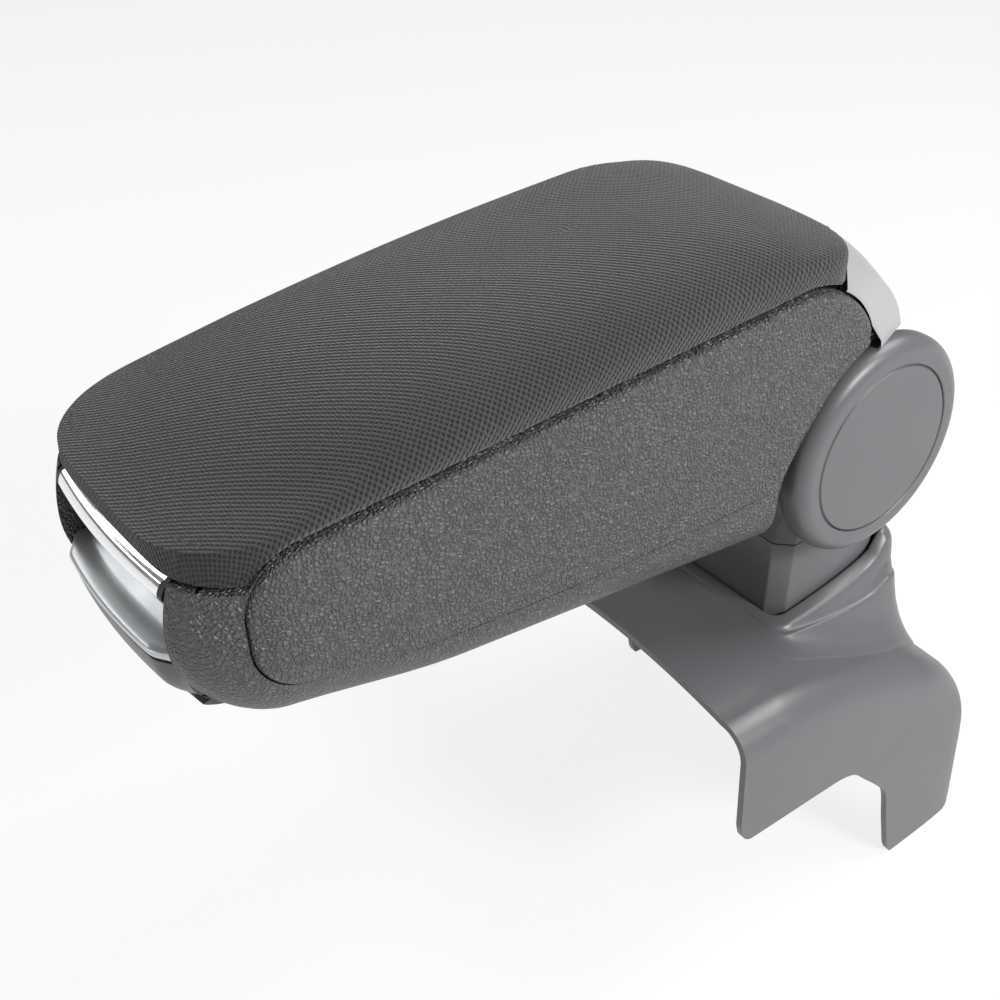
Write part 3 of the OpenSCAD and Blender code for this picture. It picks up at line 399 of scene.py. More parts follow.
FABRIC = knitted("knitted_fabric", (0.004, 0.0042, 0.0045), (0.043, 0.044, 0.046))
BODY = grained("body_grain", (0.078, 0.08, 0.084), 0.36)
PANEL = grained("panel_grain", (0.078, 0.08, 0.084), 0.36)
STAND = smooth_plastic("stand_satin", (0.105, 0.108, 0.113), 0.36)
LIGHT = smooth_plastic("light_satin", (0.3, 0.305, 0.312), 0.38)
DARK = smooth_plastic("dark_satin", (0.09, 0.093, 0.098), 0.38)
BLACK = smooth_plastic("black_plastic", (0.012, 0.012, 0.013), 0.5)
SILVER = smooth_plastic("silver_paint", (0.5, 0.52, 0.53), 0.32, 0.05, Metallic=0.7,
                        Coat_Weight=0.3, Coat_Roughness=0.2)
CHROME = metal("chrome", (0.9, 0.91, 0.92), 0.1, (0.2, 1, 1))
NYLON = smooth_plastic("nylon", (0.72, 0.7, 0.63), 0.5)
SHEET = metal("zinc_sheet", (0.45, 0.46, 0.48), 0.38, (1, 0.15, 1))
STEEL = metal("bright_steel", (0.62, 0.63, 0.65), 0.25, (0.15, 1, 1))
SLOTS = {"fabric": FABRIC, "body_plastic": BODY, "panel_plastic": PANEL, "stand_plastic": STAND,
         "light_plastic": LIGHT, "trim_silver": SILVER, "dark_plastic": DARK, "black_plastic": BLACK,
         "bright_bar": CHROME, "bush_plastic": NYLON, "steel_sheet": SHEET, "steel_bright": STEEL}

for sub in frame["record"]["subparts"]:
    node_mesh = nodes[sub["node"]].data
    node_mesh.materials.clear()
    node_mesh.materials.append(SLOTS[sub["material_slot"]])


# Armrest body

def seam_line(y):
    """Height of the straight part of the seam between the body and the lid."""
    return SEAM_FRONT + (y - FRONT_Y) * RISE


PANEL_ARC_Z = seam_line(PANEL_ARC_Y) - PANEL_R
PANEL_TAIL_Z = seam_line(PANEL_TAIL_Y) - PANEL_TAIL_R


def arc_z(y, mid, r):
    return math.sqrt(max(0, r * r - (y - mid) ** 2))


def seam(y):
    if y < PANEL_ARC_Y:
        return max(CORNER_Z, PANEL_ARC_Z + arc_z(y, PANEL_ARC_Y, PANEL_R))
    if y > PANEL_TAIL_Y:
        return PANEL_TAIL_Z + arc_z(y, PANEL_TAIL_Y, PANEL_TAIL_R)
    return seam_line(y)


def under(y):
    """Height of the underside's middle."""
    return UNDER_FRONT - (y - FRONT_Y) * FALL - BELLY * ease((y - FRONT_Y - BELLY_FROM) / BELLY_RUN)


FRONT_STEPS, SIDE_STEPS, REAR_STEPS = 10, 64, 8
TURNS = steps(90, 0, 30)
POCKET_HALF = BAR_HALF + 2.9


def half_plan(side, front, rear, tail, corner, front_corner=FRONT_R):
    """Half of a plan outline, from the middle of the front to the middle of the rear, set in from the
    body's side, front and tail by these amounts."""
    hx = ARM_HALF - side
    rf = max(LEAST_R, front_corner - (side + front) / 2)
    rr = max(LEAST_R, corner - (side + rear) / 2)
    y0, y1 = FRONT_Y + front, -tail - rear
    return ([((hx - rf) * i / FRONT_STEPS, y0) for i in range(FRONT_STEPS)]
            + [(hx - rf + rf * cosd(a), y0 + rf - rf * sind(a)) for a in TURNS]
            + [(hx, mix(y0 + rf, y1 - rr, s)) for s in steps(0, 1, SIDE_STEPS)[1:-1]]
            + [(hx - rr + rr * cosd(a), y1 - rr + rr * sind(a)) for a in steps(0, 90, 10)]
            + [((hx - rr) * i / REAR_STEPS, y1) for i in reversed(range(REAR_STEPS))])


def bowed(x, y):
    """Bows the front of a plan outline forward in its middle."""
    return x, y - FRONT_BOW * (1 - (x / ARM_HALF) ** 2) * ease((FRONT_Y + BOW_FROM - y) / BOW_RUN)


def rear_limit(z, r):
    """How far before the pivot axis the body's rear stays at height z."""
    if z <= 0:
        return r + REAR_RELIEF
    return math.sqrt(max(0, r * r - z * z)) + REAR_RELIEF * ease(1 - z / RELIEF_H)


def clear_drum(x, y, z, r, k):
    """Moves a point forward out of the drum's way, and by the share k along the underside's slope."""
    yy = min(y, -rear_limit(z, r)) if z < r else y
    return x, yy, z + (y - yy) * FALL * k


def lower_edge(x, y, a):
    """A plan point's x, and its height over the underside, where the lower edge has turned by a."""
    near = 1 - ease((y - FRONT_Y) / FRONT_REACH)
    sweep = 1 - LOWER_SWEEP * near * (1 - sind(a)) / ARM_HALF
    return x * sweep, mix(LOWER_R, FRONT_LOWER, near) * (1 - cosd(a))


def body_ring(a, s, grow):
    """Outer ring of the body: a turns round the lower edge, then s goes up the wall to the seam."""
    side = LOWER_R * (1 - sind(a)) + RIM_LEAN * s * s - grow
    front = FRONT_LOWER * (1 - sind(a)) - FRONT_BULGE + (FRONT_BULGE + RIM_LEAN) * s * s - grow
    half = []
    for p in half_plan(side, front, -grow, BODY_TAIL, REAR_R):
        x, y = bowed(*p)
        x, rise = lower_edge(x, y, a)
        z = under(y) - grow + rise
        if s:
            z = mix(z, seam(y), s)
        half.append(clear_drum(x, y, z, CLEAR_R - grow, 1 - s))
    return mirrored(half)


def body_inner_ring(a, s):
    """As body_ring, for the inside, which stays behind the pocket of the front trim."""
    front = FRONT_LOWER * (1 - sind(a)) + FRONT_WALL + FRONT_WALL_GAIN * s * s
    half = []
    for p in half_plan(LOWER_R * (1 - sind(a)) + BODY_WALL, front, FLOOR_WALL, BODY_TAIL, REAR_R):
        x, y = bowed(*p)
        x, rise = lower_edge(x, y, a)
        z = mix(under(y) + FLOOR_WALL + rise, seam(y), s)
        if x < POCKET_HALF + FLOOR_WALL + 1.5:
            y = max(y, POCKET_Y + FLOOR_WALL)
        half.append(clear_drum(x, y, z, CLEAR_R + FLOOR_WALL, 1 - s))
    return mirrored(half)


def outer_rings(grow):
    return ([body_ring(a, 0, grow) for a in steps(0, 90, 20)]
            + [body_ring(90, s, grow) for s in steps(0, 1, 26)[1:-1]])


def panel_low(y):
    """Lower edge of the side panel, which sweeps up towards the front."""
    return PANEL_LOW + 8 * max(0, (LOW_FROM - y) / (LOW_FROM - LOW_TO)) ** 1.8


def panel_outline(g, lift=0.0):
    """Outline of a side panel in (y, z), drawn smaller by g, with its top edge raised by lift."""
    back = lambda z: (-rear_limit(z, CLEAR_R + PANEL_GAP) - g, z)
    rr, rt = PANEL_R - g, PANEL_TAIL_R - g + lift
    low = [(y, panel_low(y) + g) for y in steps(LOW_FROM, LOW_TO, 26)]
    foot = [(PANEL_ARC_Y + rr * cosd(a), PANEL_FOOT_Z + rr * sind(a)) for a in steps(252, 180, 18)]
    bend = spline([low[-2], low[-1], foot[0], foot[1]], 6)[6:13]
    arc = []
    for a in steps(180, 95, 22):
        r = rr + lift * ease((150 - a) / 15)
        arc.append((PANEL_ARC_Y + r * cosd(a), PANEL_ARC_Z + r * sind(a)))
    tail = [(PANEL_TAIL_Y + rt * cosd(a), PANEL_TAIL_Z + rt * sind(a)) for a in steps(95, 31, 24)]
    top = [tuple(mix(p, q, t) for p, q in zip(arc[-1], tail[0])) for t in steps(0, 1, 40)[1:-1]]
    tail_end = [(-15.9 - g, 53.3), (-16.2 - g, 52.4), (-16.9 - g, 51)]
    heel_y = back(PANEL_LOW)[0]
    heel = [(back(4.9)[0] - 0.3, 4.75 + g), (heel_y - 2, PANEL_LOW + g)]
    straight = [(y, PANEL_LOW + g) for y in steps(heel_y - 5, LOW_FROM + 0.1, 10)[:-1]]
    return (arc + top + tail + tail_end + [back(z) for z in steps(49, 6, 40)] + heel + straight
            + low + bend[1:-1] + foot[:-1])


body = make("body_moulding", *lofted(
    outer_rings(0) + [body_ring(90, 0.985, 0), body_ring(90, 0.996, -0.12), body_ring(90, 1, -0.5)]
    + [body_inner_ring(90, s) for s in (1, 0.75, 0.5, 0.25, 0)]
    + [body_inner_ring(a, 0) for a in (75, 60, 45, 30, 15, 0)], "floor"))
tools = [block((-POCKET_HALF, FRONT_Y - 20, -12), (POCKET_HALF, POCKET_Y, 70))]
for side in (-1, 1):
    ear_x = side * EAR_X
    tools.append(prism_x(panel_outline(0, 2.0), side * (ARM_HALF - PANEL_DEPTH), side * (ARM_HALF + 6)))
    tools.append(block((ear_x - EAR_HALF, -CLEAR_R - 12, -21), (ear_x + EAR_HALF, -CLEAR_R + 4, 6)))
    for y in SCREW_YS:
        tools.append(rod_z(SCREW_HOLE_D, side * SCREW_X, y, under(y) - 5, under(y) + 7))
cut(body, *tools)
finish_piece(body, "armrest", BODY, "body_plastic", "body_shell")

skin_points, skin_faces = lofted(outer_rings(PANEL_GAP) + [body_ring(90, 1, PANEL_GAP)], "floor")
skin = BVHTree.FromPolygons([Vector(p) for p in skin_points], skin_faces)


def skin_x(y, z):
    """The panel's outer face: how far out the body's skin, less the panel's setback, lies there."""
    hit = skin.ray_cast(Vector((90, y, min(z, seam(y) - 0.02))), Vector((-1, 0, 0)))
    return hit[0].x if hit[0] else 50


SPINE = Vector((-226, 38)), Vector((-72, 33))
SKIN_GAP, EDGE_TOP, EDGE_LOW = 0.55, 1.5, 0.8
EDGE_SHARES, FACE_STEPS = (0, 0.06, 0.2, 0.4, 0.65, 1), [2, 3, 4.5, 6.5, 9, 12, 15, 18, 21]


def panel_mesh():
    """The panel filled from its outline in to a spine, its edge rounded over."""
    line = panel_outline(SKIN_GAP)
    along = SPINE[1] - SPINE[0]
    back = ARM_HALF - PANEL_DEPTH + 0.3
    rows = []
    for p in line:
        p = Vector(p)
        t = min(1, max(0, (p - SPINE[0]).dot(along) / along.length_squared))
        q = SPINE[0] + along * t
        far = (q - p).length
        row = [(back, p.x, p.y)]
        edge = mix(EDGE_LOW, EDGE_TOP, ease((p.y - 8) / 16))
        for d in [edge * k for k in EDGE_SHARES] + FACE_STEPS:
            e = p + (q - p) * min(0.97, d / far)
            drop = edge - math.sqrt(edge ** 2 - (edge - d) ** 2) if d < edge else 0
            row.append((skin_x(e.x, e.y) - drop, e.x, e.y))
        row.append((skin_x(q.x, q.y), q.x, q.y))
        rows.append(row + [(back, q.x, q.y)])
    count, depth = len(rows), len(rows[0])
    points = [p for r in rows for p in r]
    faces = [(i * depth + k, (i + 1) % count * depth + k, (i + 1) % count * depth + (k + 1) % depth,
              i * depth + (k + 1) % depth) for i in range(count) for k in range(depth) if k != depth - 2]
    return points, faces


for side, word in ((1, "right"), (-1, "left")):
    points, faces = panel_mesh()
    panel = make("side_panel_skin_" + word, [(side * p[0], p[1], p[2]) for p in points], faces, 2e-6)
    finish_piece(panel, "armrest", PANEL, "panel_plastic", "side_panel_" + word)


# Front trim, chin, latch bar

TRIM_HALF = POCKET_HALF - 0.8
TRIM_TUCK, TUCK_FROM, TUCK_RUN, TUCK_DEEP = 3.4, 0.74, 0.26, 5
# Sections in (y, z) from the front line and the lip's height: the front face, then the back
SCOOP = [(7.2, 19.5), (10, 14.5), (10.6, 9.5), (8.2, 5),
         (11, 4.8), (12.4, 9.5), (11.6, 15), (9.2, 19.5)]
LIP = [(8.2, 4.9), (5.4, 3.2), (3.4, 2.4), (-2, 1.4), (-3, -0.4), (-1.4, -2.6), (2.4, -2.6),
       (6.8, 1.2), (11, 4.6)]
CHIN = [(-2, -3.2), (-1.2, -8.4), (0.8, -13.4), (4.6, -17.6), (10.6, -20.8), (21, -23.2),
        (21, -21.2), (11.4, -18.6), (6.4, -15.9), (3, -12.4), (1.2, -8), (0.6, -3.2)]


def trim_front(x):
    """The bowed front line of the trim and the chin."""
    return FRONT_Y - FRONT_BOW * (1 - (x / (TRIM_HALF + 1)) ** 2)


def swept(section, limit=math.inf):
    """A section swept across the front; what stands forward in it tucks in towards both ends."""
    rings = []
    for u in steps(-1, 1, 72):
        x = u * TRIM_HALF
        tuck = TRIM_TUCK * ease((abs(u) - TUCK_FROM) / TUCK_RUN)
        rings.append([(x, min(trim_front(x) + y + (tuck if y < TUCK_DEEP else 0), limit), LIP_Z + z)
                      for y, z in section])
    return lofted(rings, "flat")


trim = make("scoop_skin", *swept(spline(SCOOP[:4], 8) + spline(SCOOP[4:], 4)))
finish_piece(trim, "armrest", SILVER, "trim_silver", "front_trim", angle=40)
lip = make("lip_skin", *swept(spline(LIP[:7], 6) + spline(LIP[7:], 4)))
finish_piece(lip, "armrest", SILVER, "trim_silver", "trim_lip", angle=40)
chin_line = spline(CHIN[:6], 5) + spline(CHIN[6:], 4)
chin = make("chin_skin", *swept(chin_line, POCKET_Y - 0.8))
finish_piece(chin, "armrest", DARK, "dark_plastic", "chin_cover", angle=40)


def bar_front(x):
    return FRONT_Y + 1.8 - 2.6 * (1 - (x / (BAR_HALF + 4)) ** 2)


# The bar's section: y from its front line, and z as a share of its height below its top
BAR = [(1.2, 0), (0.2, -0.12), (-0.9, -0.2), (-1.5, -0.32), (-2.2, -0.55), (-2.45, -0.7), (-2.42, -0.84),
       (-2.0, -0.95), (-0.8, -1), (1.2, -0.97)]
bar_line = spline(BAR[:9], 4) + [BAR[9]]
bar = make("bright_bar_skin", *lofted([[(x, bar_front(x) + y, BAR_TOP + z * BAR_H) for y, z in bar_line]
                                       for x in steps(-BAR_HALF, BAR_HALF, 48)], "flat"))
finish_piece(bar, "latch", CHROME, "bright_bar", "latch_bar", angle=40)


# Cushion

FRONT_ROUND, FRONT_TURN, REAR_TURN = 8, 20, 20
SKIRT, RIM_RING = 5.5, 7
CROWN_STEPS = (0.9985, 0.994, 0.986, 0.975, 0.96, 0.94, 0.915, 0.885, 0.85, 0.81, 0.765, 0.71, 0.65,
               0.58, 0.5, 0.42, 0.34, 0.26, 0.18, 0.1, 0.04)


def lid_plan(inset, front_more=0.0, rear_more=0.0):
    """Plan of the lid, with its corner radii larger by the two amounts."""
    return [bowed(*p) for p in half_plan(2 + inset, 2 + inset, inset, LID_REAR, LID_CORNER + rear_more,
                                         FRONT_R + front_more)]


def lid_ring(inset, drop, turn=0.0):
    """Ring over the real seam by drop or, where drop is negative, over its straight line by -drop."""
    return mirrored([(x, y, seam(y) + drop if drop > 0 else seam_line(y) - drop)
                     for x, y in lid_plan(inset, FRONT_ROUND * turn)])


def crown_share(y):
    """Share of the crown's height over the middle line, which sinks towards both ends."""
    if y < MID_Y:
        return max(0, 1 - ((y - MID_Y) / CROWN_FRONT) ** 2) ** 1.2
    return math.sqrt(max(0, 1 - ((y - MID_Y) / CROWN_TAIL) ** 2))


def crown_ring(c):
    """Ring of the crown at the share c of the plan's size; its corners round off at once."""
    half = []
    for px, py in lid_plan(-0.4, FRONT_ROUND + FRONT_TURN * ease((1 - c) / 0.1),
                           REAR_TURN * ease((1 - c) / 0.08)):
        y = MID_Y + (py - MID_Y) * c
        lift = CROWN_H * (1 - c ** 2.5) ** 0.4 * mix(1, crown_share(y), c * c)
        half.append((px * c, y, seam_line(y) + LID_GAP + 2 + lift))
    return mirrored(half)


def cushion_rings():
    return ([lid_ring(SKIRT, -BOARD_T - LID_GAP), lid_ring(SKIRT, LID_GAP + 0.2),
             lid_ring(2.4, LID_GAP + 0.02), lid_ring(1.2, LID_GAP),
             lid_ring(0.5, LID_GAP + 0.3, 0.15), lid_ring(0.1, LID_GAP + 0.9, 0.4),
             lid_ring(-0.3, LID_GAP + 2, 0.75), lid_ring(-0.4, -LID_GAP - 2, 1)]
            + [crown_ring(c) for c in CROWN_STEPS])


def cushion_mesh():
    """The cushion with its cloth laid flat from above, and let out at the rim by the cloth's length."""
    rings = cushion_rings()
    n, m = len(rings[0]), len(rings)
    points, faces = lofted(rings)
    flat = [[(0.0, 0.0)] * n for _ in rings]
    for i in range(n):
        a, b = Vector(rings[RIM_RING][i - 3]), Vector(rings[RIM_RING][(i + 3) % n])
        away = Vector((b.y - a.y, a.x - b.x)).normalized()
        spare = 0.0
        for k in range(m - 1, -1, -1):
            p = Vector(rings[k][i])
            if k < m - 1:
                step = p - Vector(rings[k + 1][i])
                spare += step.length - step.to_2d().length
            flat[k][i] = ((p.x + away.x * spare) / 100, (p.y + away.y * spare) / 100)
    me = bpy.data.meshes.new("padded_lid")
    me.from_pydata([place(p) for p in points], [], faces)
    where = [uv for ring in flat for uv in ring] + [(0.0, MID_Y / 100)] * (len(points) - n * m)
    layer = me.uv_layers.new(name="cloth")
    for loop in me.loops:
        layer.data[loop.index].uv = where[loop.vertex_index]
    clean(me)
    return add_object("padded_lid", me)


cushion = cushion_mesh()
finish_piece(cushion, "lid", FABRIC, "fabric", "lid_cushion", angle=60)


# Hinge cover

COVER_FLAT, COVER_EDGE, COVER_STEPS = ARM_HALF - 9, ARM_HALF - 2.8, 36
COVER_SIDE = (0.0, 0.12, 0.35, 0.65, 0.9, 1.0)
COVER_INSIDE = Vector((-22, 46))


def bezier(a, b, c, d, t):
    u = 1 - t
    return a * u ** 3 + b * 3 * u * u * t + c * 3 * u * t * t + d * t ** 3


def cover_curve(x, t):
    """The cover's outer line at x in (y, z), from the lid's hinge back and down to the drum."""
    u = min(1, abs(x) / COVER_FLAT)
    front = Vector((mix(-HINGE_FWD + 4.2, -HINGE_FWD - 5, u ** 6), mix(HINGE_Z + 0.4, HINGE_Z - 5, u ** 5)))
    end_a = mix(68, 78, u * u)
    tail = (RIM_R + 2) * Vector((cosd(end_a), sind(end_a)))
    high = Vector((mix(4, -8, u * u), mix(74, 68, u * u)))
    low = Vector((mix(17, 4, u * u), 60))
    return bezier(front, high, low, tail, t)


def cover_side(t, up):
    """The side edge: along the panel's rear arc, then down to the drum."""
    r, k = PANEL_TAIL_R + 0.6 + up, t * 6
    arc = lambda i: Vector((PANEL_TAIL_Y, PANEL_TAIL_Z)) + r * Vector((cosd(62 - 9 * i), sind(62 - 9 * i)))
    foot = [(RIM_R + rise + up * 0.6) * Vector((cosd(101 - up), sind(101 - up))) for rise in (3.4, 0.4)]
    if k <= 4:
        return arc(k)
    return arc(4).lerp(foot[0], k - 4) if k <= 5 else foot[0].lerp(foot[1], k - 5)


def cover_rings():
    """Rings along x: u goes across the flat part, and w from there out to each side edge."""
    rings = []
    for u, w in ([(-1, w) for w in reversed(COVER_SIDE)] + [(u, 0.0) for u in steps(-0.98, 0.98, 56)]
                 + [(1, w) for w in COVER_SIDE]):
        x = math.copysign(mix(COVER_FLAT, COVER_EDGE, w), u) if abs(u) == 1 else u * COVER_FLAT
        outer, inner = [], []
        for t in steps(0, 1, COVER_STEPS):
            p = cover_curve(u * COVER_FLAT, t)
            outer.append(p.lerp(cover_side(t, 0.9), w))
            inner.append(p.lerp(COVER_INSIDE, 0.07).lerp(cover_side(t, 0), w))
        rings.append([(x, p.x, p.y) for p in outer + inner[::-1]])
    return rings


cover = make("hinge_cover_skin", *lofted(cover_rings(), "flat"))
finish_piece(cover, "armrest", LIGHT, "light_plastic", "hinge_cover", angle=38)

# A black sheet at each end of the cover is painted shade: it stands for the shade inside the cover, seen past
# the drum, and closes the view into it
SHADE_WEB_X, SHADE_WEB_R, SHADE_WEB_HALF = 47.3, RIM_R + 1.3, 0.5
shade_web_line = ([tuple(cover_curve(COVER_FLAT, t).lerp(COVER_INSIDE, 0.09).lerp(cover_side(t, -0.5), 0.36))
             for t in steps(0, 0.94, 24)]
            + [(SHADE_WEB_R * cosd(a), SHADE_WEB_R * sind(a)) for a in steps(92, 112, 8)]
            + [(-23, 46), (-31, 60), (-30, 70)])
for side, word in ((1, "right"), (-1, "left")):
    shade_web = prism_x(shade_web_line, side * (SHADE_WEB_X - SHADE_WEB_HALF), side * (SHADE_WEB_X + SHADE_WEB_HALF), "cover_shade_web_" + word)
    finish_piece(shade_web, "armrest", BLACK, "black_plastic")


# Drum, neck

NECK_FORE, NECK_AFT = PIVOT_FWD - NECK_HY, PIVOT_FWD + NECK_HY
WAIST_HALF, RIM_ROUND, SLOT_HALF = 36, 6, 2.6
SEAT_X, SEAT_GAP, SEAT_CHAMFER, PAST = DRUM_HALF - 2.2, 0.25, 0.9, 3
# Height over the stub's foot, and how much wider, further forward and further back it is there
STUB = [(0, 0, 0, 0), (5, 1, 0.6, 0), (11, 3.5, 2.4, 0.6), (17, 7.5, 5.6, 2.4), (23, 12, 9.5, 6),
        (30, 14, 10, 10)]
stub_wide, stub_fore, stub_aft = (curve_at([(s[0], s[i]) for s in STUB]) for i in (1, 2, 3))


def octagon(hx, y0, y1, c):
    """Outline of half width hx from y0 to y1, with its corners cut off by c."""
    return [(hx - c, y0), (hx, y0 + c), (hx, y1 - c), (hx - c, y1),
            (-hx + c, y1), (-hx, y1 - c), (-hx, y0 + c), (-hx + c, y0)]


def neck_octagon(grow, c):
    return octagon(NECK_HX + grow, NECK_FORE - grow, NECK_AFT + grow, c)


def disc(x0, x1, r):
    """A plain disc about the pivot axis to cut with."""
    return make("tool", *lathe_x([(x0, 1), (x0, r), (x1, r), (x1, 1)]))


def stub_ring(h):
    outline = octagon(NECK_HX + stub_wide(h), NECK_FORE - stub_fore(h), NECK_AFT - stub_aft(h), NECK_FLAT)
    return [(x, y, NECK_TOP + h) for x, y in rounded(outline, 1.4, 3)]


drum_half_line = ([(WAIST_HALF * t, WAIST_R) for t in (0.5, 0.9)]
                  + [(mix(WAIST_HALF, DRUM_HALF - RIM_ROUND - 2, t), mix(WAIST_R, RIM_R, ease(t)))
                     for t in steps(0, 1, 16)]
                  + [(DRUM_HALF - RIM_ROUND + RIM_ROUND * cosd(a), RIM_R - RIM_ROUND + RIM_ROUND * sind(a))
                     for a in steps(90, 0, 14)]
                  + [(DRUM_HALF, 35), (DRUM_HALF, CAP_R + 0.5), (DRUM_HALF, 20), (DRUM_HALF, 6)])
drum = make("drum_skin", *lathe_x([(-x, r) for x, r in reversed(drum_half_line)] + drum_half_line))
cut(drum, make("tool", *lofted([stub_ring(h) for h in steps(0, 30, 40)], "flat")), operation="UNION")
tools = [disc(-WAIST_HALF, WAIST_HALF, WAIST_R - DRUM_WALL),
         disc(-DRUM_HALF - PAST, DRUM_HALF + PAST, CAP_R - 2),
         prism_z(neck_octagon(-NECK_WALL, NECK_FLAT), NECK_TOP - 1, -38),
         prism_z(octagon(NECK_HX - NECK_WALL, NECK_FORE + NECK_WALL, 20, NECK_FLAT), -39, -8)]
seat = [(SEAT_X, 1), (SEAT_X, CAP_R + SEAT_GAP), (DRUM_HALF - 0.3, CAP_R + SEAT_GAP),
        (DRUM_HALF + 0.2, CAP_R + SEAT_CHAMFER), (DRUM_HALF + PAST, CAP_R + SEAT_CHAMFER),
        (DRUM_HALF + PAST, 1)]
for side in (-1, 1):
    tools.append(make("tool", *lathe_x([(side * x, r) for x, r in seat])))
    sector = [(0.0, 0.0)] + [((RIM_R + 6) * cosd(a), (RIM_R + 6) * sind(a)) for a in steps(74, 210, 24)]
    tools.append(prism_x(sector, side * EAR_X - SLOT_HALF, side * EAR_X + SLOT_HALF))
cut(drum, *tools)
finish_piece(drum, "stand", STAND, "stand_plastic", "pivot_drum", angle=32)

neck_out = rounded(neck_octagon(0, NECK_FLAT), 1.6, 4)
neck_edge = [(x * 0.995, mix(PIVOT_FWD, y, 0.995)) for x, y in neck_out]
neck_in = rounded(neck_octagon(-NECK_WALL, NECK_FLAT - 1.5), 1.2, 4)
neck_z0, neck_z1 = FOOT_T - PIVOT_H, NECK_TOP - 0.6
neck_rings = [[(x, y, z) for x, y in line] for line, z in (
    (neck_out, neck_z0), (neck_out, neck_z1 - 0.5), (neck_edge, neck_z1),
    (neck_in, neck_z1), (neck_in, neck_z0))]
neck = make("neck_skin", *lofted(neck_rings, "loop"))
finish_piece(neck, "stand", STAND, "stand_plastic", "neck_shell", angle=32)


# Saddle cover

# Along y: the height of the top's side, and of the side walls' lower edge over the front legs' foot
TOP_LINE = [(-83, -78.6), (-60, -78.8), (-50, -79.8), (-36, -82.5), (-21, -86.5), (-9, -90.5), (4, -95.5),
            (22, -102.5), (34, -107), (45, -113.5), (53, -121.5), (58, -132), (60, -143)]
LEG_LINE = [(-83, 9), (-82.3, 5), (-80, 1.6), (-77, 0.2), (-53, 0), (-27, -0.7), (-18, -2.6), (-8, -11),
            (3, -21.8), (7, -26.4), (8.8, -31), (11, -44), (13.6, -57), (15, -63.4), (18, -68), (56, -68),
            (59, -66), (60, -60)]
top_z = curve_at(TOP_LINE)
leg_z = curve_at([(y, z - FRONT_LEG) for y, z in LEG_LINE])
TOP_COLS = [1 - i / 16 for i in range(1, 17)]


def top_crown(y):
    """How much higher the top is in its middle, which falls off towards the rear."""
    return mix(7, 2, ease((y + 80) / 50))


def saddle_half(y, t):
    """Half of the section at y, set in by t. The lines are drawn from SADDLE_FRONT, and the front part
    is then pulled in to FRONT_EDGE."""
    yy = y * FRONT_EDGE / SADDLE_FRONT if y < 0 else y
    z1, z0, x1, r = top_z(y) - t, leg_z(y), SADDLE_HALF - t, SADDLE_CORNER - t
    zc = z1 - r
    crown = top_crown(y)
    return ([(x1 + (zc - mix(z0, zc, u)) * LEAN, yy, mix(z0, zc, u)) for u in steps(0, 1, 12)]
            + [(x1 - r + r * cosd(a), yy, zc + r * sind(a)) for a in steps(0, 90, 14)[1:]]
            + [((x1 - r) * u, yy, z1 + crown * (1 - u * u)) for u in TOP_COLS])


def full_section(half):
    return half + [(-p[0], p[1], p[2]) for p in half[-2::-1]]


def saddle_rings():
    """Rings along y, close together where the lower edge bends."""
    ys = {round(y, 3) for a, b, n in ((SADDLE_FRONT, -77, 6), (-77, -18, 24), (-18, 3, 12), (3, 18, 30),
                                      (18, 46, 14), (46, 60, 20)) for y in steps(a, b, n)}
    rings = []
    for y in sorted(ys):
        outer, inner = full_section(saddle_half(y, 0)), full_section(saddle_half(y, SADDLE_WALL))
        rings.append(outer + inner[::-1])
    return rings


def strip_ends(rings):
    """As lofted, with each end closed by a strip between the two halves of its ring."""
    n, m = len(rings[0]), len(rings)
    points, faces = lofted(rings, "open")
    for base in (0, (m - 1) * n):
        faces += [(base + i, base + i + 1, base + n - 2 - i, base + n - 1 - i) for i in range(n // 2 - 1)]
    return points, faces


# The collar's top along y, and the share of its rise that is left at each distance from the neck
collar_z = curve_at([(-40, -81), (-20, -79), (0, -76), (20, -71.5), (29, -68), (34, -61), (60, -58)])
collar_rise = curve_at([(COLLAR_GAP, 0.985), (1.9, 1), (5.6, 0.93), (6.6, 0.86), (7.6, 0.66), (8.6, 0.58),
                        (9.8, 0.56), (10.8, 0.45), (13, 0.27), (16, 0.14), (19, 0.06), (23, 0)])
GROWS = [COLLAR_GAP, 1.6, 1.9, 2.4, 3, 3.8, 4.6, 5.2, 5.6, 6, 6.3, 6.6, 6.9, 7.2, 7.6, 8, 8.3, 8.6, 9, 9.4,
         9.8, 10.1, 10.4, 10.8, 11.4, 12.2, *range(13, 24)]


def collar_ring(grow, drop=0.0):
    """Ring of the collar at the distance grow from the neck."""
    hx, hy, r, bow = NECK_HX + grow, NECK_HY + grow * 0.8, 5 + grow * 0.5, 0.16 * grow
    quarter = [(hx - r + r * cosd(a), hy - r + r * sind(a)) for a in steps(0, 90, 10)]
    reach = 1 - r / hy
    side = [(hx + bow * (1 - (t / reach) ** 2), t * hy) for t in steps(-reach, reach, 12)[1:-1]]
    ends = [((hx - r) * t, hy) for t in steps(1, -1, 16)[1:-1]]
    right = [(x, -y) for x, y in reversed(quarter)] + side + quarter
    line = right + ends + [(-x, y) for x, y in reversed(right)] + [(-x, -y) for x, y in ends]
    rise = collar_rise(grow)
    out = []
    for x, y in line:
        yy = PIVOT_FWD + y
        u = min(1, abs(x) / (SADDLE_HALF - SADDLE_CORNER))
        low = top_z(yy if yy > 0 else yy * SADDLE_FRONT / FRONT_EDGE) + top_crown(yy) * (1 - u * u)
        out.append((x, yy, mix(low + 0.04 - (0.4 if rise == 0 else 0), collar_z(yy), rise) - drop))
    return out


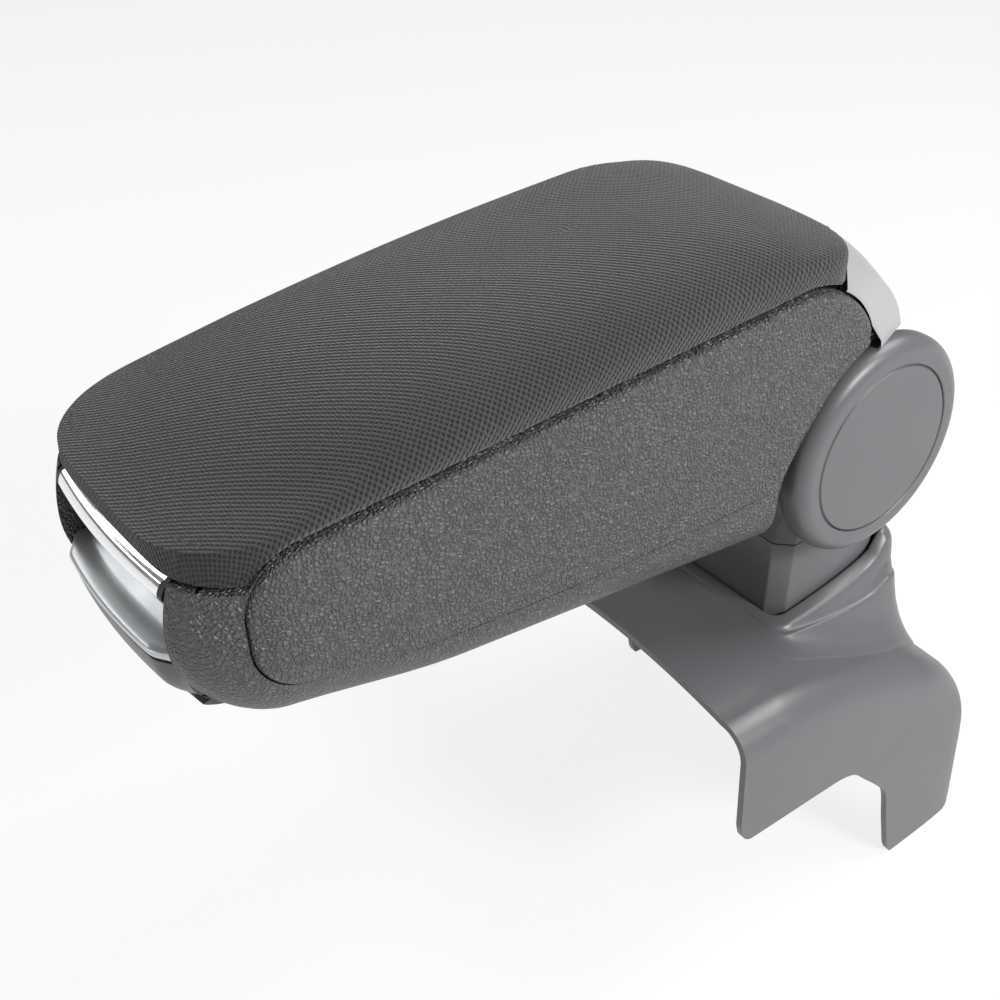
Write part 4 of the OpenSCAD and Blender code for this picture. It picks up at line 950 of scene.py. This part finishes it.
saddle = make("saddle_skin", *strip_ends(saddle_rings()))
cut(saddle, prism_z(rounded(neck_octagon(COLLAR_GAP, NECK_FLAT + 0.8), 1.6), -120, -30))
finish_piece(saddle, "stand", STAND, "stand_plastic", "saddle_cover", angle=35)
collar = make("collar_skin", *lofted([collar_ring(g) for g in GROWS]
                                     + [collar_ring(g, 2.2) for g in (23, 17, 11, 7)]
                                     + [collar_ring(COLLAR_GAP, 4)], "loop"))
finish_piece(collar, "stand", STAND, "stand_plastic", angle=50)


# Floor, lights, camera

WHITE = (1, 1, 1, 1)
FLOOR_HALF, FLOOR_GLOW, AIR_GLOW = 6.0, 0.82, 0.22
CAMERA_AT, AZIMUTH, ELEVATION = (0.2978, -0.364, 0.3836), 53, 34.2
AIM = Vector((0, -0.1, 0.1))


def mix_into(tree, share, first, second, output):
    """Sends a mix of two shaders to output, with the second one's share."""
    both = tree.nodes.new("ShaderNodeMixShader")
    for source, socket in zip((share, first, second), both.inputs):
        tree.links.new(source, socket)
    tree.links.new(both.outputs[0], tree.nodes[output].inputs[0])


def floor_material():
    """A pale floor that glows by itself to what sees it, so that its shadows stay faint."""
    n = Nodes("pale_floor")
    glow = n.add("ShaderNodeEmission", {"Color": WHITE, "Strength": 1.0})
    path = n.add("ShaderNodeLightPath")
    seen = n.math("MAXIMUM", path.outputs["Is Camera Ray"], path.outputs["Is Glossy Ray"])
    seen = n.math("MAXIMUM", seen, path.outputs["Is Transmission Ray"])
    share = n.math("MULTIPLY", seen, FLOOR_GLOW)
    mix_into(n.tree, share, n.bsdf.outputs[0], glow.outputs[0], "Material Output")
    n.shade(Base_Color=(0.9, 0.9, 0.91, 1), Roughness=0.9)
    return n.mat


floor_z = cad_lo.z - 0.0005
floor_mesh = bpy.data.meshes.new("floor")
corners = ((-1, -1), (1, -1), (1, 1), (-1, 1))
floor_mesh.from_pydata([(x * FLOOR_HALF, y * FLOOR_HALF, floor_z) for x, y in corners], [], [(0, 1, 2, 3)])
floor_mesh.materials.append(floor_material())
floor = add_object("floor", floor_mesh)

# The world lights the part faintly and shows white behind it
world = bpy.data.worlds.new("studio")
bpy.context.scene.world = world
world.use_nodes = True
sky = world.node_tree
air, backdrop = sky.nodes["Background"], sky.nodes.new("ShaderNodeBackground")
air.inputs[0].default_value, air.inputs[1].default_value = WHITE, AIR_GLOW
backdrop.inputs[0].default_value = WHITE
sight = sky.nodes.new("ShaderNodeLightPath")
mix_into(sky, sight.outputs["Is Camera Ray"], air.outputs[0], backdrop.outputs[0], "World Output")


def face_along(ob, direction):
    ob.rotation_mode = "QUATERNION"
    ob.rotation_quaternion = direction.to_track_quat("-Z", "Y")


def lamp(name, at, power, width, height):
    light = bpy.data.lights.new(name, "AREA")
    light.shape, light.size, light.size_y, light.energy = "RECTANGLE", width, height, power
    ob = add_object(name, light)
    ob.location = at
    face_along(ob, AIM - Vector(at))


lamp("top_softbox", (0.35, 0.8, 1.2), 13, 0.8, 0.4)
lamp("right_key", (1.3, 0.25, 0.95), 24, 0.5, 0.4)
lamp("left_strip", (-1.0, -0.7, 0.8), 3.5, 1.2, 0.3)
lamp("front_fill", (-0.3, -1.4, 0.2), 2, 0.8, 0.4)

cam = bpy.data.cameras.new("camera")
cam.lens, cam.sensor_width = 48.06, 36
cam.clip_start, cam.clip_end = 0.01, 50
camera = add_object("camera", cam)
camera.location = CAMERA_AT
level = cosd(ELEVATION)
face_along(camera, -Vector((sind(AZIMUTH) * level, -cosd(AZIMUTH) * level, sind(ELEVATION))))
bpy.context.scene.camera = camera
bpy.context.scene.view_settings.view_transform = "Standard"
